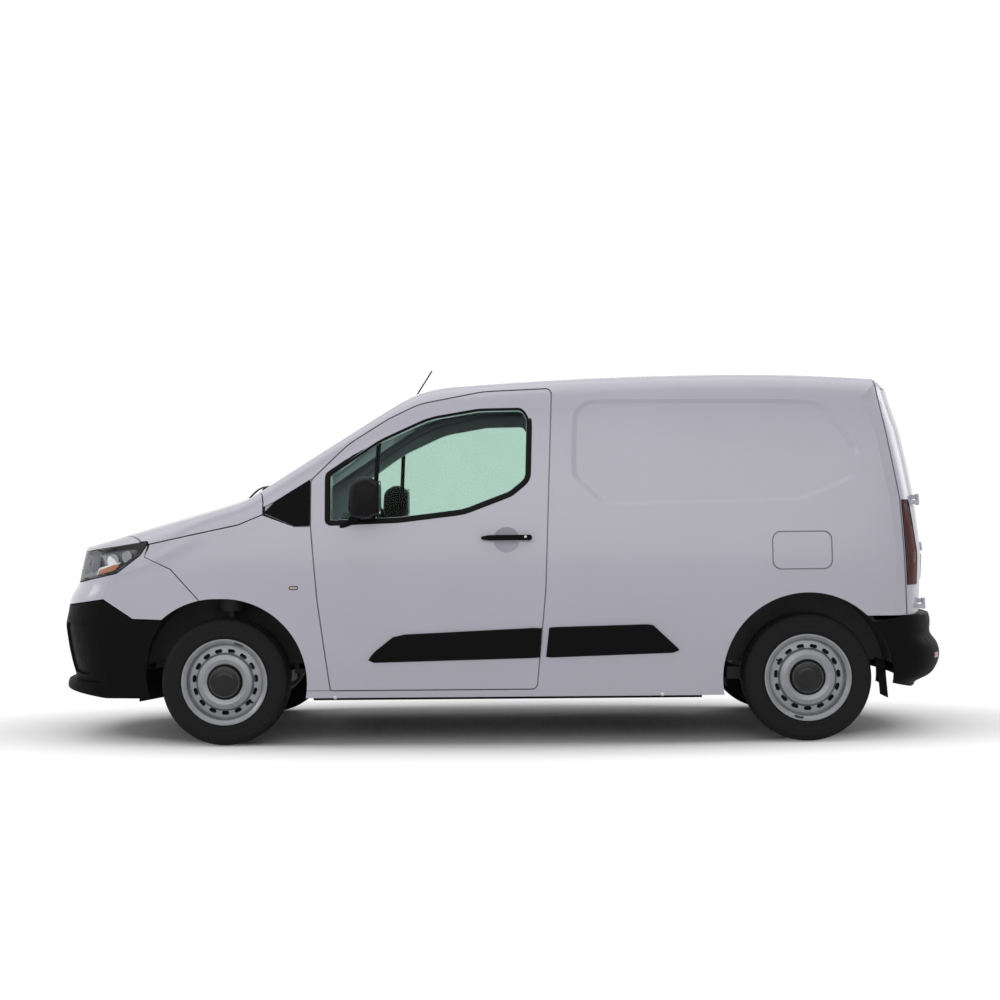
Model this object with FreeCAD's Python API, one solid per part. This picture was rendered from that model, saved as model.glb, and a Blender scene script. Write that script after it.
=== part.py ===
"""Small panel van with hinged front doors, bonnet and rear doors, built as an assembly of separate panels.

Frame: +X to the tail, -Y to the driver's (left) side, +Z up. The origin is on the ground under the middle of
the overall length. All sizes are in millimetres.
"""

import FreeCAD
import Part
import math
import os

os.makedirs("parts", exist_ok=True)
V = FreeCAD.Vector

# Overall sizes
FRONT_OVERHANG = 892.0
WHEELBASE = 2785.0
REAR_OVERHANG = 726.0
BODY_WIDTH = 1848.0
ROOF_Z = 1794.0
SILL_BOTTOM_Z = 230.0
SILL_TOP_Z = 264.0
LENGTH = FRONT_OVERHANG + WHEELBASE + REAR_OVERHANG
NOSE_X = -LENGTH / 2
TAIL_X = LENGTH / 2
FRONT_AXLE_X = NOSE_X + FRONT_OVERHANG
REAR_AXLE_X = TAIL_X - REAR_OVERHANG
CLADDING_BULGE = 12.0
HALF_WIDTH = BODY_WIDTH / 2
PANEL_HALF_WIDTH = HALF_WIDTH - 0.6 * CLADDING_BULGE

# Wheels and track
TRACK = 1553.0
TYRE_RADIUS = 308.0
TYRE_WIDTH = 195.0
RIM_RADIUS = 206.0
WHEEL_Y = TRACK / 2
ARCH_RADIUS = 400.0
ARCH_STRETCH = 36.0

# Panel thicknesses and gaps
SKIN = 12.0
DOOR_SKIN = 24.0
DOOR_THICKNESS = 78.0
SIDE_THICKNESS = 62.0
ROOF_THICKNESS = 28.0
GLASS_THICKNESS = 5.0
BUMPER_SKIN = 18.0
GLASS_DEPTH = 13.0
SHUT_GAP = 6.0
DOOR_STEP = 35.0
STEP_GAP = 8.0
PANEL_GAP = 3.0
REACH = 1300.0


def smooth_step(value):
    """0 below 0, 1 above 1, with a smooth rise between."""
    t = max(0.0, min(1.0, value))
    return t * t * (3.0 - 2.0 * t)


def smooth_min(a, b, blend):
    """The smaller of a and b, with the corner between them rounded over blend."""
    h = max(blend - abs(a - b), 0.0) / blend
    return min(a, b) - h * h * blend / 4.0


def smooth_max(a, b, blend):
    return -smooth_min(-a, -b, blend)


# Side surface: widest at the waist, with tumblehome above the shoulder
WAIST_Z = 700.0
SHOULDER_Z = 1100.0
TUCK = 30.0
LOWER_TUCK_HEIGHT = 450.0
TUMBLEHOME = 0.15
TUMBLE_CURVE = 0.00013
FRONT_TAPER_START = FRONT_AXLE_X + 310.0
FRONT_TAPER = 100.0
REAR_TAPER_START = REAR_AXLE_X - 275.0
REAR_TAPER = 46.0
TAPER_RUN = 1000.0


def side_y(x, z):
    """Half-width of the body's side at a station x and height z."""
    if z < WAIST_Z:
        y = PANEL_HALF_WIDTH - TUCK * ((WAIST_Z - z) / LOWER_TUCK_HEIGHT) ** 2
    elif z < SHOULDER_Z:
        y = PANEL_HALF_WIDTH - TUCK * ((z - WAIST_Z) / (SHOULDER_Z - WAIST_Z)) ** 2
    else:
        over = z - SHOULDER_Z
        y = PANEL_HALF_WIDTH - TUCK - TUMBLEHOME * over - TUMBLE_CURVE * over * over
    if x < FRONT_TAPER_START:
        y -= FRONT_TAPER * ((FRONT_TAPER_START - x) / TAPER_RUN) ** 2
    if x > REAR_TAPER_START:
        y -= REAR_TAPER * ((x - REAR_TAPER_START) / TAPER_RUN) ** 2
    return y


# Top surface: bonnet, windscreen and roof
ROOF_PEAK_X = 1100.0
ROOF_FALL_FRONT = 2.6e-5
ROOF_FALL_REAR = 5.2e-5
ROOF_CROWN = 24.0
COWL_X = FRONT_AXLE_X + 70.0
COWL_Z = 1206.0
BONNET_SLOPE = 0.29
BONNET_CROWN = 28.0
SCREEN_SLOPE = 0.626
SCREEN_SWEEP = 55.0
CROWN_Y = 650.0
HEADER_BLEND = 80.0
COWL_BLEND = 18.0


def top_z(x, y):
    """Height of the bonnet, windscreen and roof over the point x, y."""
    share = (y / CROWN_Y) ** 2
    fall = ROOF_FALL_FRONT if x < ROOF_PEAK_X else ROOF_FALL_REAR
    roof = ROOF_Z - fall * (x - ROOF_PEAK_X) ** 2 - ROOF_CROWN * share
    bonnet = COWL_Z + BONNET_SLOPE * (x - COWL_X) - BONNET_CROWN * share
    screen = COWL_Z + SCREEN_SLOPE * (x - SCREEN_SWEEP * share - COWL_X)
    return smooth_min(roof, smooth_max(bonnet, screen, COWL_BLEND), HEADER_BLEND)


# Shoulder rounding between side and top: large on the wing, tight on the screen pillar
WING_RADIUS = 110.0
PILLAR_RADIUS = 46.0
RAIL_RADIUS = 78.0
PILLAR_BLEND_START, PILLAR_BLEND_RUN = 480.0, 380.0
RAIL_BLEND_START, RAIL_BLEND_RUN = 440.0, 600.0


def corner_radius(x):
    to_pillar = smooth_step((x - (COWL_X - PILLAR_BLEND_START)) / PILLAR_BLEND_RUN)
    to_rail = smooth_step((x - (COWL_X + RAIL_BLEND_START)) / RAIL_BLEND_RUN)
    wing = WING_RADIUS + (PILLAR_RADIUS - WING_RADIUS) * to_pillar
    return wing + (RAIL_RADIUS - PILLAR_RADIUS) * to_rail


def inside(x, y, z, inset, radius):
    """How far y, z lies inside the rounded section at station x; negative outside it."""
    a = side_y(x, z) - inset - y
    b = top_z(x, y) - inset - z
    if a >= radius and b >= radius:
        return min(a, b)
    return radius - math.hypot(max(0.0, radius - a), max(0.0, radius - b))


def shoot(x, origin, way, reach, inset, radius):
    """Distance from origin along way, in the plane of the section, to the section's outline."""
    low, high = 0.0, reach
    for _ in range(26):
        middle = (low + high) / 2
        if inside(x, origin[0] + way[0] * middle, origin[1] + way[1] * middle, inset, radius) > 0:
            low = middle
        else:
            high = middle
    return low


SIDE_POINTS, CORNER_POINTS, TOP_POINTS = 9, 5, 7
STATION_STEP = 110.0
HULL_END = LENGTH / 2 + 90.0


def half_section(x, inset, bottom_z):
    """Points (y, z) of the half section: up the side, round the shoulder and in to the middle."""
    radius = max(8.0, corner_radius(x) - inset)
    centre_z = top_z(x, 700.0) - inset - radius
    for _ in range(6):
        centre_y = side_y(x, centre_z) - inset - radius
        centre_z = top_z(x, centre_y) - inset - radius
    points = []
    for j in range(SIDE_POINTS):
        z = bottom_z + (centre_z - bottom_z) * j / SIDE_POINTS
        points.append((shoot(x, (0.0, z), (1.0, 0.0), 1500.0, inset, radius), z))
    for j in range(CORNER_POINTS):
        angle = math.pi / 2 * j / (CORNER_POINTS - 1)
        way = (math.cos(angle), math.sin(angle))
        run = shoot(x, (centre_y, centre_z), way, 400.0, inset, radius)
        points.append((centre_y + way[0] * run, centre_z + way[1] * run))
    for j in range(1, TOP_POINTS + 1):
        y = centre_y * (1.0 - j / TOP_POINTS)
        points.append((y, centre_z + shoot(x, (y, centre_z), (0.0, 1.0), 700.0, inset, radius)))
    return points


def closed_by_planes(surface):
    """Solid between a surface with flat edges and the planes of its edges."""
    face = surface.toShape()
    u0, u1, v0, v1 = surface.bounds()
    first, last = surface.uIso(u0), surface.uIso(u1)
    low, high = surface.vIso(v0), surface.vIso(v1)
    corners = [surface.value(u0, v0), surface.value(u1, v0), surface.value(u1, v1), surface.value(u0, v1)]
    ends = []
    for curve, a, b in ((first, corners[0], corners[3]), (last, corners[1], corners[2])):
        ends.append(Part.Face(Part.Wire([curve.toShape(), Part.makeLine(b, a)])))
    base = Part.Face(Part.Wire([low.toShape(), Part.makeLine(corners[1], corners[2]), high.toShape(),
                                Part.makeLine(corners[3], corners[0])]))
    solid = Part.Solid(Part.makeShell([face, base] + ends))
    solid.fix(0.01, 0.01, 0.01)
    if solid.Volume < 0:
        solid.reverse()
    return solid


HULLS = {}


def hull(inset):
    """Solid inside the body's sides, bonnet, screen and roof, everywhere inset by the same depth."""
    if inset not in HULLS:
        bottom_z = SILL_BOTTOM_Z - 4.0 if inset == 0 else SILL_BOTTOM_Z - 90.0
        end = HULL_END + inset
        count = round(2 * end / STATION_STEP)
        rows = []
        for i in range(count + 1):
            x = -end + 2 * end * i / count
            half = half_section(x, inset, bottom_z)
            row = [V(x, -y, z) for y, z in half] + [V(x, y, z) for y, z in reversed(half[:-1])]
            rows.append(row)
        surface = Part.BSplineSurface()
        surface.interpolate(rows)
        HULLS[inset] = closed_by_planes(surface)
    return HULLS[inset]


# Front and rear ends: an upright profile at the middle, swept round rounded corners in plan
FRONT_PROFILE = [(140.0, 80.0), (250.0, 60.0), (320.0, 52.0), (372.0, 36.0), (450.0, 18.0), (570.0, 0.0),
                 (719.0, 31.0), (766.0, 68.0), (916.0, 102.0), (1100.0, 150.0), (1300.0, 200.0)]
REAR_PROFILE = [(140.0, -130.0), (560.0, -118.0), (615.0, -114.0), (885.0, -98.0), (1154.0, -124.0),
                (1325.0, -152.0), (1491.0, -184.0), (1690.0, -243.0), (1745.0, -285.0), (1780.0, -350.0), (1850.0, -500.0)]
REAR_BUMPER_PROFILE = [(140.0, -110.0), (272.0, -124.0), (300.0, -52.0), (352.0, -8.0), (405.0, 0.0),
                       (450.0, -12.0), (500.0, -48.0), (600.0, -52.0), (700.0, -130.0)]
LIP_PROFILE = [(180.0, 90.0), (250.0, 24.0), (282.0, -6.0), (300.0, 16.0), (420.0, 90.0)]
# Each end: profile, position, sense along X, depth and power of the rounded corner in plan
END_KINDS = {"front": (FRONT_PROFILE, NOSE_X + 6.0, 1.0, 330.0, 3.0),
             "lip": (LIP_PROFILE, NOSE_X + 6.0, 1.0, 330.0, 3.2),
             "rear": (REAR_PROFILE, TAIL_X, -1.0, 260.0, 3.0),
             "rear_bumper": (REAR_BUMPER_PROFILE, TAIL_X, -1.0, 330.0, 3.0)}
END_REACH = 1250.0
END_HALF_TOP_Z = 1650.0
END_OVERHANG = 3.0
END_FLARE = 60.0
CURVE_STEPS = 60
END_POINTS = 25
PROFILE_STEP = 40.0


def profile_offset(profile, z):
    """Offset of an end profile at height z."""
    for (z0, d0), (z1, d1) in zip(profile, profile[1:]):
        if z <= z1:
            return d0 + (d1 - d0) * max(0.0, (z - z0) / (z1 - z0))
    return profile[-1][1]


def evenly_spaced(curve, count):
    """Points at equal distances along a curve given as closely set points."""
    along = [0.0]
    for a, b in zip(curve, curve[1:]):
        along.append(along[-1] + math.dist(a, b))
    points, i = [], 0
    for k in range(count):
        target = along[-1] * k / (count - 1)
        while i < len(curve) - 2 and along[i + 1] < target:
            i += 1
        t = (target - along[i]) / (along[i + 1] - along[i])
        points.append(tuple(p + (q - p) * t for p, q in zip(curve[i], curve[i + 1])))
    return points


def end_half(x, z):
    """Half-width of an end surface: just outside the body's side."""
    return side_y(x, min(z, END_HALF_TOP_Z)) + END_OVERHANG


def end_solid(kind, inset):
    """Region behind the front face, or ahead of a rear face, of the body."""
    profile, base, sign, depth, power = END_KINDS[kind]
    z_low, z_high = profile[0][0], profile[-1][0]
    count = round((z_high - z_low) / PROFILE_STEP)
    rows = []
    for k in range(count + 1):
        z = z_low + (z_high - z_low) * k / count
        x_mid = base + profile_offset(profile, z) + sign * inset
        corner_x = x_mid + sign * depth
        curve = []
        for j in range(CURVE_STEPS + 1):
            angle = math.pi / 2 * j / CURVE_STEPS
            x = corner_x - sign * depth * max(0.0, math.cos(angle)) ** (2 / power)
            curve.append((x, (end_half(x, z) - inset) * math.sin(angle) ** (2 / power)))
        far_x = base + sign * END_REACH
        for j in range(1, CURVE_STEPS + 1):
            t = j / CURVE_STEPS
            x = corner_x + (far_x - corner_x) * t
            curve.append((x, end_half(x, z) - inset + END_FLARE * t * t))
        points = evenly_spaced(curve, END_POINTS)
        rows.append([V(x, -y, z) for x, y in reversed(points[1:])] + [V(x, y, z) for x, y in points])
    surface = Part.BSplineSurface()
    surface.interpolate(rows)
    return closed_by_planes(surface)


ENDS = {}


def end(kind, inset):
    if (kind, inset) not in ENDS:
        ENDS[(kind, inset)] = end_solid(kind, inset)
    return ENDS[(kind, inset)]


def end_x(kind, y, z):
    """Position along X of an end surface at y, z."""
    profile, base, sign, depth, power = END_KINDS[kind]
    corner_x = base + profile_offset(profile, z) + sign * depth
    x = corner_x
    for _ in range(8):
        share = min(1.0, abs(y) / end_half(x, z))
        x = corner_x - sign * depth * (1.0 - share ** power) ** (1 / power)
    return x


WASTE = {}
END_ZONES = (("front", -2700.0, -1560.0), ("rear", 1540.0, 2700.0))


def trimmed(solid, inset):
    """Cuts off whatever lies beyond the front and rear faces, inset by the same depth."""
    for kind, low, high in END_ZONES:
        if solid.BoundBox.XMin < high and solid.BoundBox.XMax > low:
            if (kind, inset) not in WASTE:
                WASTE[(kind, inset)] = box(low, high, -REACH, REACH, 0, 2200).cut(end(kind, inset))
            solid = solid.cut(WASTE[(kind, inset)])
    return solid


def core(shape, inset):
    """The body's solid at a depth, in the box round a shape."""
    b = shape.BoundBox
    zone = box(b.XMin - 5, b.XMax + 5, b.YMin - 5, b.YMax + 5, b.ZMin - 5, b.ZMax + 5)
    return trimmed(hull(inset).common(zone), inset)


def outside(region, inset):
    """The part of a region that lies outside the body's surface at a depth."""
    return region.cut(core(region, inset))


def layer(region, outer, inner):
    """The part of the body between two depths that lies inside a region."""
    return outside(trimmed(hull(outer).common(region), outer), inner)


def rounded_wire(points, plane):
    """Closed wire through points (a, b, radius), each corner rounded by its radius."""
    place = {"xz": lambda a, b: V(a, 0, b), "xy": lambda a, b: V(a, b, 0), "yz": lambda a, b: V(0, a, b)}[plane]
    corners = [place(p[0], p[1]) for p in points]
    radii = [p[2] if len(p) > 2 else 0.0 for p in points]
    count = len(points)
    edges, starts, ends = [], [], []
    for i in range(count):
        here = corners[i]
        to_last = (corners[i - 1] - here).normalize()
        to_next = (corners[(i + 1) % count] - here).normalize()
        if radii[i] <= 0:
            starts.append(here)
            ends.append(here)
            edges.append(None)
            continue
        half = to_last.getAngle(to_next) / 2
        run = radii[i] / math.tan(half)
        middle = (to_last + to_next).normalize()
        a, b = here + to_last * run, here + to_next * run
        top = here + middle * (radii[i] / math.sin(half) - radii[i])
        starts.append(a)
        ends.append(b)
        edges.append(Part.Arc(a, top, b).toShape())
    chain = []
    for i in range(count):
        if edges[i]:
            chain.append(edges[i])
        after = (i + 1) % count
        if (starts[after] - ends[i]).Length > 1e-6:
            chain.append(Part.makeLine(ends[i], starts[after]))
    return Part.Wire(chain)


def side_prism(points, y0, y1, offset=0.0):
    """Prism between y0 and y1 over an outline drawn in the side view, grown by offset."""
    wire = rounded_wire(points, "xz")
    if offset:
        wire = wire.makeOffset2D(offset)
    face = Part.Face(wire)
    face.translate(V(0, y0, 0))
    return face.extrude(V(0, y1 - y0, 0))


def plan_prism(points, z0, z1):
    face = Part.Face(rounded_wire(points, "xy"))
    face.translate(V(0, 0, z0))
    return face.extrude(V(0, 0, z1 - z0))


def box(x0, x1, y0, y1, z0, z1):
    return Part.makeBox(x1 - x0, y1 - y0, z1 - z0, V(x0, y0, z0))


def across(radius, x, z, y0, y1):
    """Cylinder along Y between y0 and y1."""
    return Part.makeCylinder(radius, y1 - y0, V(x, y0, z), V(0, 1, 0))


def mirrored(shape):
    return shape.mirror(V(0, 0, 0), V(0, 1, 0))


def keep(name, shape):
    """Stores a finished piece as a single clean solid."""
    solids = shape.Solids
    solid = max(solids, key=lambda s: s.Volume)
    lost = sum(s.Volume for s in solids) - solid.Volume
    print(f"{name}: {len(solids)} solid(s), lost {lost:.0f} mm3, valid {solid.isValid()}, "
          f"{solid.Volume / 1e6:.2f} litres")
    solid.exportStep(f"parts/{name}.step")


def keep_pair(name, shape):
    """Stores a left piece and its mirror image on the right."""
    keep(name + "_left", shape)
    keep(name + "_right", mirrored(shape))


# Outlines in the side view: x, z and corner radius
DOOR_FRONT_X = -884.0
DOOR_REAR_X = 268.0
DOOR_OUTLINE = [(-796, 268, 12), (-853, 699, 0), (-883, 1046, 0), (DOOR_FRONT_X, 1268, 40), (-708, 1440, 400),
                (-516, 1562, 300), (-371, 1632, 300), (-60, 1692, 500), (DOOR_REAR_X, 1704, 25), (230, 738, 0),
                (184, 268, 25)]
WINDOW_OUTLINE = [(-805, 1065, 18), (-806, 1296, 22), (-562, 1462, 500), (-322, 1571, 400), (-81, 1611, 300),
                  (130, 1613, 45), (162, 1560, 60), (153, 1264, 70), (70, 1196, 90), (-154, 1112, 250),
                  (-465, 1076, 400)]
COVER_OUTLINE = [(-1112, 1116, 4), (-1060, 1170, 0), (-890, 1275, 6), (-890, 1052, 6), (-962, 1050, 10)]
RECESS_OUTLINE = [(393, 1634, 90), (1561, 1625, 110), (1744, 1395, 80), (1732, 1260, 60), (1448, 1156, 140),
                  (516, 1145, 80), (389, 1280, 60)]
DOOR_CLADDING = [(-638, 388, 6), (-600, 450, 30), (-488, 541, 30), (226, 572, 6), (210, 406, 6)]
SIDE_CLADDING = [(236, 572, 6), (740, 583, 30), (876, 450, 10), (872, 425, 10), (221, 406, 6)]
SLIDING_OUTLINE = [(300, 292, 20), (330, 760, 0), (352, 1668, 25), (1180, 1668, 40), (1180, 800, 90),
                   (1040, 620, 60), (1000, 292, 30)]
FLAP_X0, FLAP_X1, FLAP_Z0, FLAP_Z1, FLAP_RADIUS = 1313.0, 1588.0, 828.0, 1000.0, 40.0
FLAP_THICKNESS = 8.0
FLAP_GAP = 5.5
LAMP_OUTLINE = [(-2300, 912, 0), (-2018, 935, 60), (-1672, 984, 8), (-1712, 920, 40), (-1829, 833, 60),
                (-2039, 790, 30), (-2300, 776, 0)]
LAMP_INNER_Y = 520.0
LAMP_DEPTH = 90.0
BONNET_SIDE = [(-2300, 900), (-1668, 975), (-1235, 1063), (-1119, 1110)]
BONNET_NOSE_X = -1990.0
BONNET_SWEEP = 228.0
BONNET_SETBACK = 52.0
SCREEN_START = 15.0
SCREEN_BOW = 45.0
SCREEN_LOW_Y, SCREEN_TOP_Y = 765.0, 640.0
PILLAR_BASE_X = -1185.0
BONNET_HINGE_X, BONNET_HINGE_Z, BONNET_HINGE_Y = -1090.0, 1195.0, 700.0
HINGE_ARM = [(0, 0), (-50, -94), (-124, -42), (-160, 40)]
HINGE_ARM_RADIUS, HINGE_ARM_WIDTH = 8.0, 16.0
NOSE_GAP = 9.0
TAIL_LAMP_OUTLINE = [(1936, 1148), (1952, 746), (TAIL_X, 746), (TAIL_X, 1148)]
TAIL_LAMP_DEPTH = 48.0
TAIL_LAMP_Y = 782.0
CORNER_GROOVE = [(1834, 1735), (1923, 1153), (1945, 604), (1952, 604), (1930, 1153), (1841, 1735)]
GROOVE_DEPTH = 7.0
ROOF_JOINT_Y = 648.0
ROOF_FRONT_X = -505.0
ROOF_BOTTOM_Z = 1696.0
REAR_DOOR_Y = 736.0
REAR_DOOR_KNEE_Z = 1180.0
REAR_DOOR_LEAN = 88.0
REAR_DOOR_STEP = 34.0
REAR_DOOR_TOP = 1690.0
REAR_DOOR_BOTTOM = 604.0
REAR_DOOR_THICKNESS = 60.0
BUMPER_TOP_Z = 598.0
LOAD_FLOOR_Z = 575.0
CAB_FLOOR_Z = 340.0
FLOOR_THICKNESS = 24.0
BULKHEAD_X = 330.0
FIREWALL_X = -1000.0
HOUSING_GAP = 16.0
HOUSING_WALL = 12.0
FRONT_HOUSING_Y = 480.0
REAR_HOUSING_Y = 555.0
RAIL_Y = 395.0
RAIL_WIDTH = 75.0


def roof_region(grow):
    """Region of the roof panel, grown by the same gap all round."""
    y = ROOF_JOINT_Y + grow
    x = ROOF_FRONT_X - grow
    return plan_prism([(x, -y, 20), (x, y, 20), (TAIL_X + 50, y), (TAIL_X + 50, -y)], ROOF_BOTTOM_Z - grow - 90, 2000)


def screen_region(grow):
    """Region of the windscreen: its lower edge bows forward and its sides follow the pillars."""
    low_x, low_y = COWL_X + SCREEN_START - grow, SCREEN_LOW_Y + grow
    top_x, top_y = ROOF_FRONT_X - 2 * PANEL_GAP + grow, SCREEN_TOP_Y + grow
    bow = SCREEN_BOW
    chain = [Part.Arc(V(low_x + bow, -low_y, 0), V(low_x, 0, 0), V(low_x + bow, low_y, 0)).toShape(),
             Part.makeLine(V(low_x + bow, low_y, 0), V(top_x, top_y, 0)),
             Part.makeLine(V(top_x, top_y, 0), V(top_x, -top_y, 0)),
             Part.makeLine(V(top_x, -top_y, 0), V(low_x + bow, -low_y, 0))]
    face = Part.Face(Part.Wire(chain))
    face.translate(V(0, 0, 1050))
    return face.extrude(V(0, 0, 900))


def bonnet_region(grow):
    """Region above the bonnet's side line, behind its curved front edge and ahead of the cowl."""
    line = [(x, z - grow) for x, z in BONNET_SIDE]
    end_x = line[-1][0] + grow + 0.5
    over = side_prism(line + [(end_x, line[-1][1]), (end_x, 1500), (-2300, 1500)], -REACH, REACH)
    wide = 1000.0
    points = []
    for j in range(-10, 11):
        share = abs(j) / 10.0
        points.append(V(BONNET_NOSE_X - grow + 460.0 * share ** 2.6, wide * j / 10.0, 700))
    front = Part.BSplineCurve()
    front.interpolate(points)
    rear_x = COWL_X - BONNET_SETBACK + grow
    corner_x = rear_x + BONNET_SWEEP
    rear = Part.Arc(V(corner_x, wide, 700), V(rear_x, 0, 700), V(corner_x, -wide, 700)).toShape()
    chain = [front.toShape(), Part.makeLine(points[-1], V(corner_x, wide, 700)), rear,
             Part.makeLine(V(corner_x, -wide, 700), points[0])]
    return over.common(Part.Face(Part.Wire(chain)).extrude(V(0, 0, 800)))


def front_arch(radius, y0=-REACH, y1=REACH):
    """Front wheel opening: a circle round the hub, drawn out forward."""
    x, z = FRONT_AXLE_X, TYRE_RADIUS
    middle = box(x - ARCH_STRETCH, x, y0, y1, z - radius, z + radius)
    return across(radius, x, z, y0, y1).fuse([middle, across(radius, x - ARCH_STRETCH, z, y0, y1)])


def rear_arch(radius, y0=-REACH, y1=REACH):
    return across(radius, REAR_AXLE_X, TYRE_RADIUS, y0, y1)


def lamp_region(grow):
    """Region of both headlamps, in side view by their outline, cut off toward the middle of the nose."""
    both = side_prism(LAMP_OUTLINE, -REACH, REACH, grow)
    y = LAMP_INNER_Y - grow
    return both.cut(box(NOSE_X - 100, -1500, -y, y, 600, 1200))


def tail_lamp_region(grow):
    return side_prism(TAIL_LAMP_OUTLINE, -REACH, -TAIL_LAMP_Y + grow, grow)


def flap_outline(grow):
    r = FLAP_RADIUS
    return [(FLAP_X0 - grow, FLAP_Z0 - grow, r), (FLAP_X0 - grow, FLAP_Z1 + grow, r),
            (FLAP_X1 + grow, FLAP_Z1 + grow, r), (FLAP_X1 + grow, FLAP_Z0 - grow, r)]


def tapered_prism(outline, y_inner, y_outer, shrink):
    """Loft from an outline at y_inner to the outline shrunk at y_outer."""
    low = rounded_wire(outline, "xz")
    high = low.makeOffset2D(-shrink)
    low.translate(V(0, y_inner, 0))
    high.translate(V(0, y_outer, 0))
    return Part.makeLoft([low, high], True, True)


RECESS_DEPTH, RECESS_SLOPE, RECESS_RUN = 11.0, 2.2, 15.0
RECESS_LOW_Z, RECESS_TOP_Z = 1150.0, 1630.0
HANDLE_X, HANDLE_Z, HANDLE_HALF = 49.0, 987.0, 121.0
HANDLE_OUT, HANDLE_THICKNESS = 27.0, 13.0
SCOOP_RADIUS, SCOOP_DEPTH = 115.0, 18.0
SLIDING_HANDLE_X = 470.0


def cargo_recess():
    """Shallow pressed field of the cargo wall, with sloping edges all round."""
    wires = []
    for depth in (-RECESS_RUN, RECESS_DEPTH + RECESS_RUN):
        grow = RECESS_SLOPE * (RECESS_DEPTH / 2 - depth)
        wire = rounded_wire(RECESS_OUTLINE, "xz").makeOffset2D(grow)
        lean = (side_y(800, RECESS_TOP_Z) - side_y(800, RECESS_LOW_Z)) / (RECESS_TOP_Z - RECESS_LOW_Z)
        shear = FreeCAD.Matrix(1, 0, 0, 0, 0, 1, -lean, depth - side_y(800, RECESS_LOW_Z) + lean * RECESS_LOW_Z)
        wires.append(wire.transformGeometry(shear))
    return outside(Part.makeLoft(wires, True, True), RECESS_DEPTH)


FLANGE = 18.0
HINGE_PIN = 6.0
RUNNING_FIT = 0.05


def body_side():
    """Left body side: sill, screen pillar, roof rail, door aperture, cargo wall and rear corner."""
    region = side_prism([(PILLAR_BASE_X, 1090), (-1112, 1113), (-960, 1046), (-940, SILL_BOTTOM_Z),
                         (2180, SILL_BOTTOM_Z), (2180, 1900), (-600, 1900), (PILLAR_BASE_X, 1420)], -REACH, -380.0)
    piece = layer(region, 0, SIDE_THICKNESS)
    base = box(PILLAR_BASE_X - 1, -1106, -REACH, 0, 1000, 1500)
    piece = piece.cut(core(base, SKIN).common(base)).cut(bonnet_region(SHUT_GAP))
    piece = piece.cut(box(PILLAR_BASE_X - 1, -1130, -SCREEN_LOW_Y, 0, 1000, 1500))
    under_wing = side_prism([(-1200, SILL_TOP_Z), (-700, SILL_TOP_Z), (-700, 1277), (-888, 1277), (-1060, 1171),
                             (-1200, 1105)], -REACH, -600)
    piece = piece.cut(outside(under_wing, SKIN))
    piece = piece.cut(rear_opening(SHUT_GAP, 0))
    piece = piece.cut(box(-600, ROOF_FRONT_X + FLANGE, -ROOF_JOINT_Y, 0, 1400, 1900))
    piece = piece.cut(box(1700, 2300, -REACH, 0, 200, BUMPER_TOP_Z + PANEL_GAP))
    piece = piece.cut(outside(roof_region(PANEL_GAP), ROOF_THICKNESS)).cut(roof_region(-FLANGE))
    piece = piece.cut(outside(screen_region(PANEL_GAP), GLASS_THICKNESS)).cut(screen_region(-FLANGE))
    piece = piece.cut(outside(side_prism(DOOR_OUTLINE, -REACH, -600, SHUT_GAP), DOOR_SKIN))
    piece = piece.cut(side_prism(DOOR_OUTLINE, -REACH, -300, STEP_GAP - DOOR_STEP))
    piece = piece.cut(rear_arch(ARCH_RADIUS + 6)).cut(front_arch(ARCH_RADIUS))
    piece = piece.cut(outside(side_prism(CORNER_GROOVE, -REACH, -500), GROOVE_DEPTH))
    piece = piece.cut(outside(tail_lamp_region(PANEL_GAP), TAIL_LAMP_DEPTH))
    return piece.cut(cargo_recess())


def with_flap_pocket(side):
    """Cuts the pocket for the fuel flap, and its filler bowl, into the body side."""
    side = side.cut(outside(side_prism(flap_outline(FLAP_GAP), -REACH, -800), FLAP_THICKNESS + 6))
    middle_x, middle_z = (FLAP_X0 + FLAP_X1) / 2 + 10, (FLAP_Z0 + FLAP_Z1) / 2
    return side.cut(outside(across(58.0, middle_x, middle_z, -REACH, -800), SIDE_THICKNESS - 10))


def fuel_flap():
    return layer(side_prism(flap_outline(0), -REACH, -600), 0, FLAP_THICKNESS)


def front_door():
    """Left front door: outer skin with an inner box set in from it, and the window cut through both."""
    blank = layer(side_prism(DOOR_OUTLINE, -REACH, -300), 0, DOOR_THICKNESS)
    ring = side_prism(DOOR_OUTLINE, -REACH, -300, 40).cut(side_prism(DOOR_OUTLINE, -REACH, -300, -DOOR_STEP))
    blank = blank.cut(ring.common(core(blank, DOOR_SKIN)))
    blank = blank.cut(side_prism(WINDOW_OUTLINE, -REACH, -300, -14))
    blank = blank.cut(outside(side_prism(WINDOW_OUTLINE, -REACH, -600), GLASS_DEPTH))
    return blank.cut(handle_scoop(HANDLE_X))


def handle_scoop(x):
    """Bowl pressed into a door behind its handle."""
    y = side_y(x, HANDLE_Z) + SCOOP_RADIUS - SCOOP_DEPTH
    return Part.makeSphere(SCOOP_RADIUS, V(x, -y, HANDLE_Z))


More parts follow.
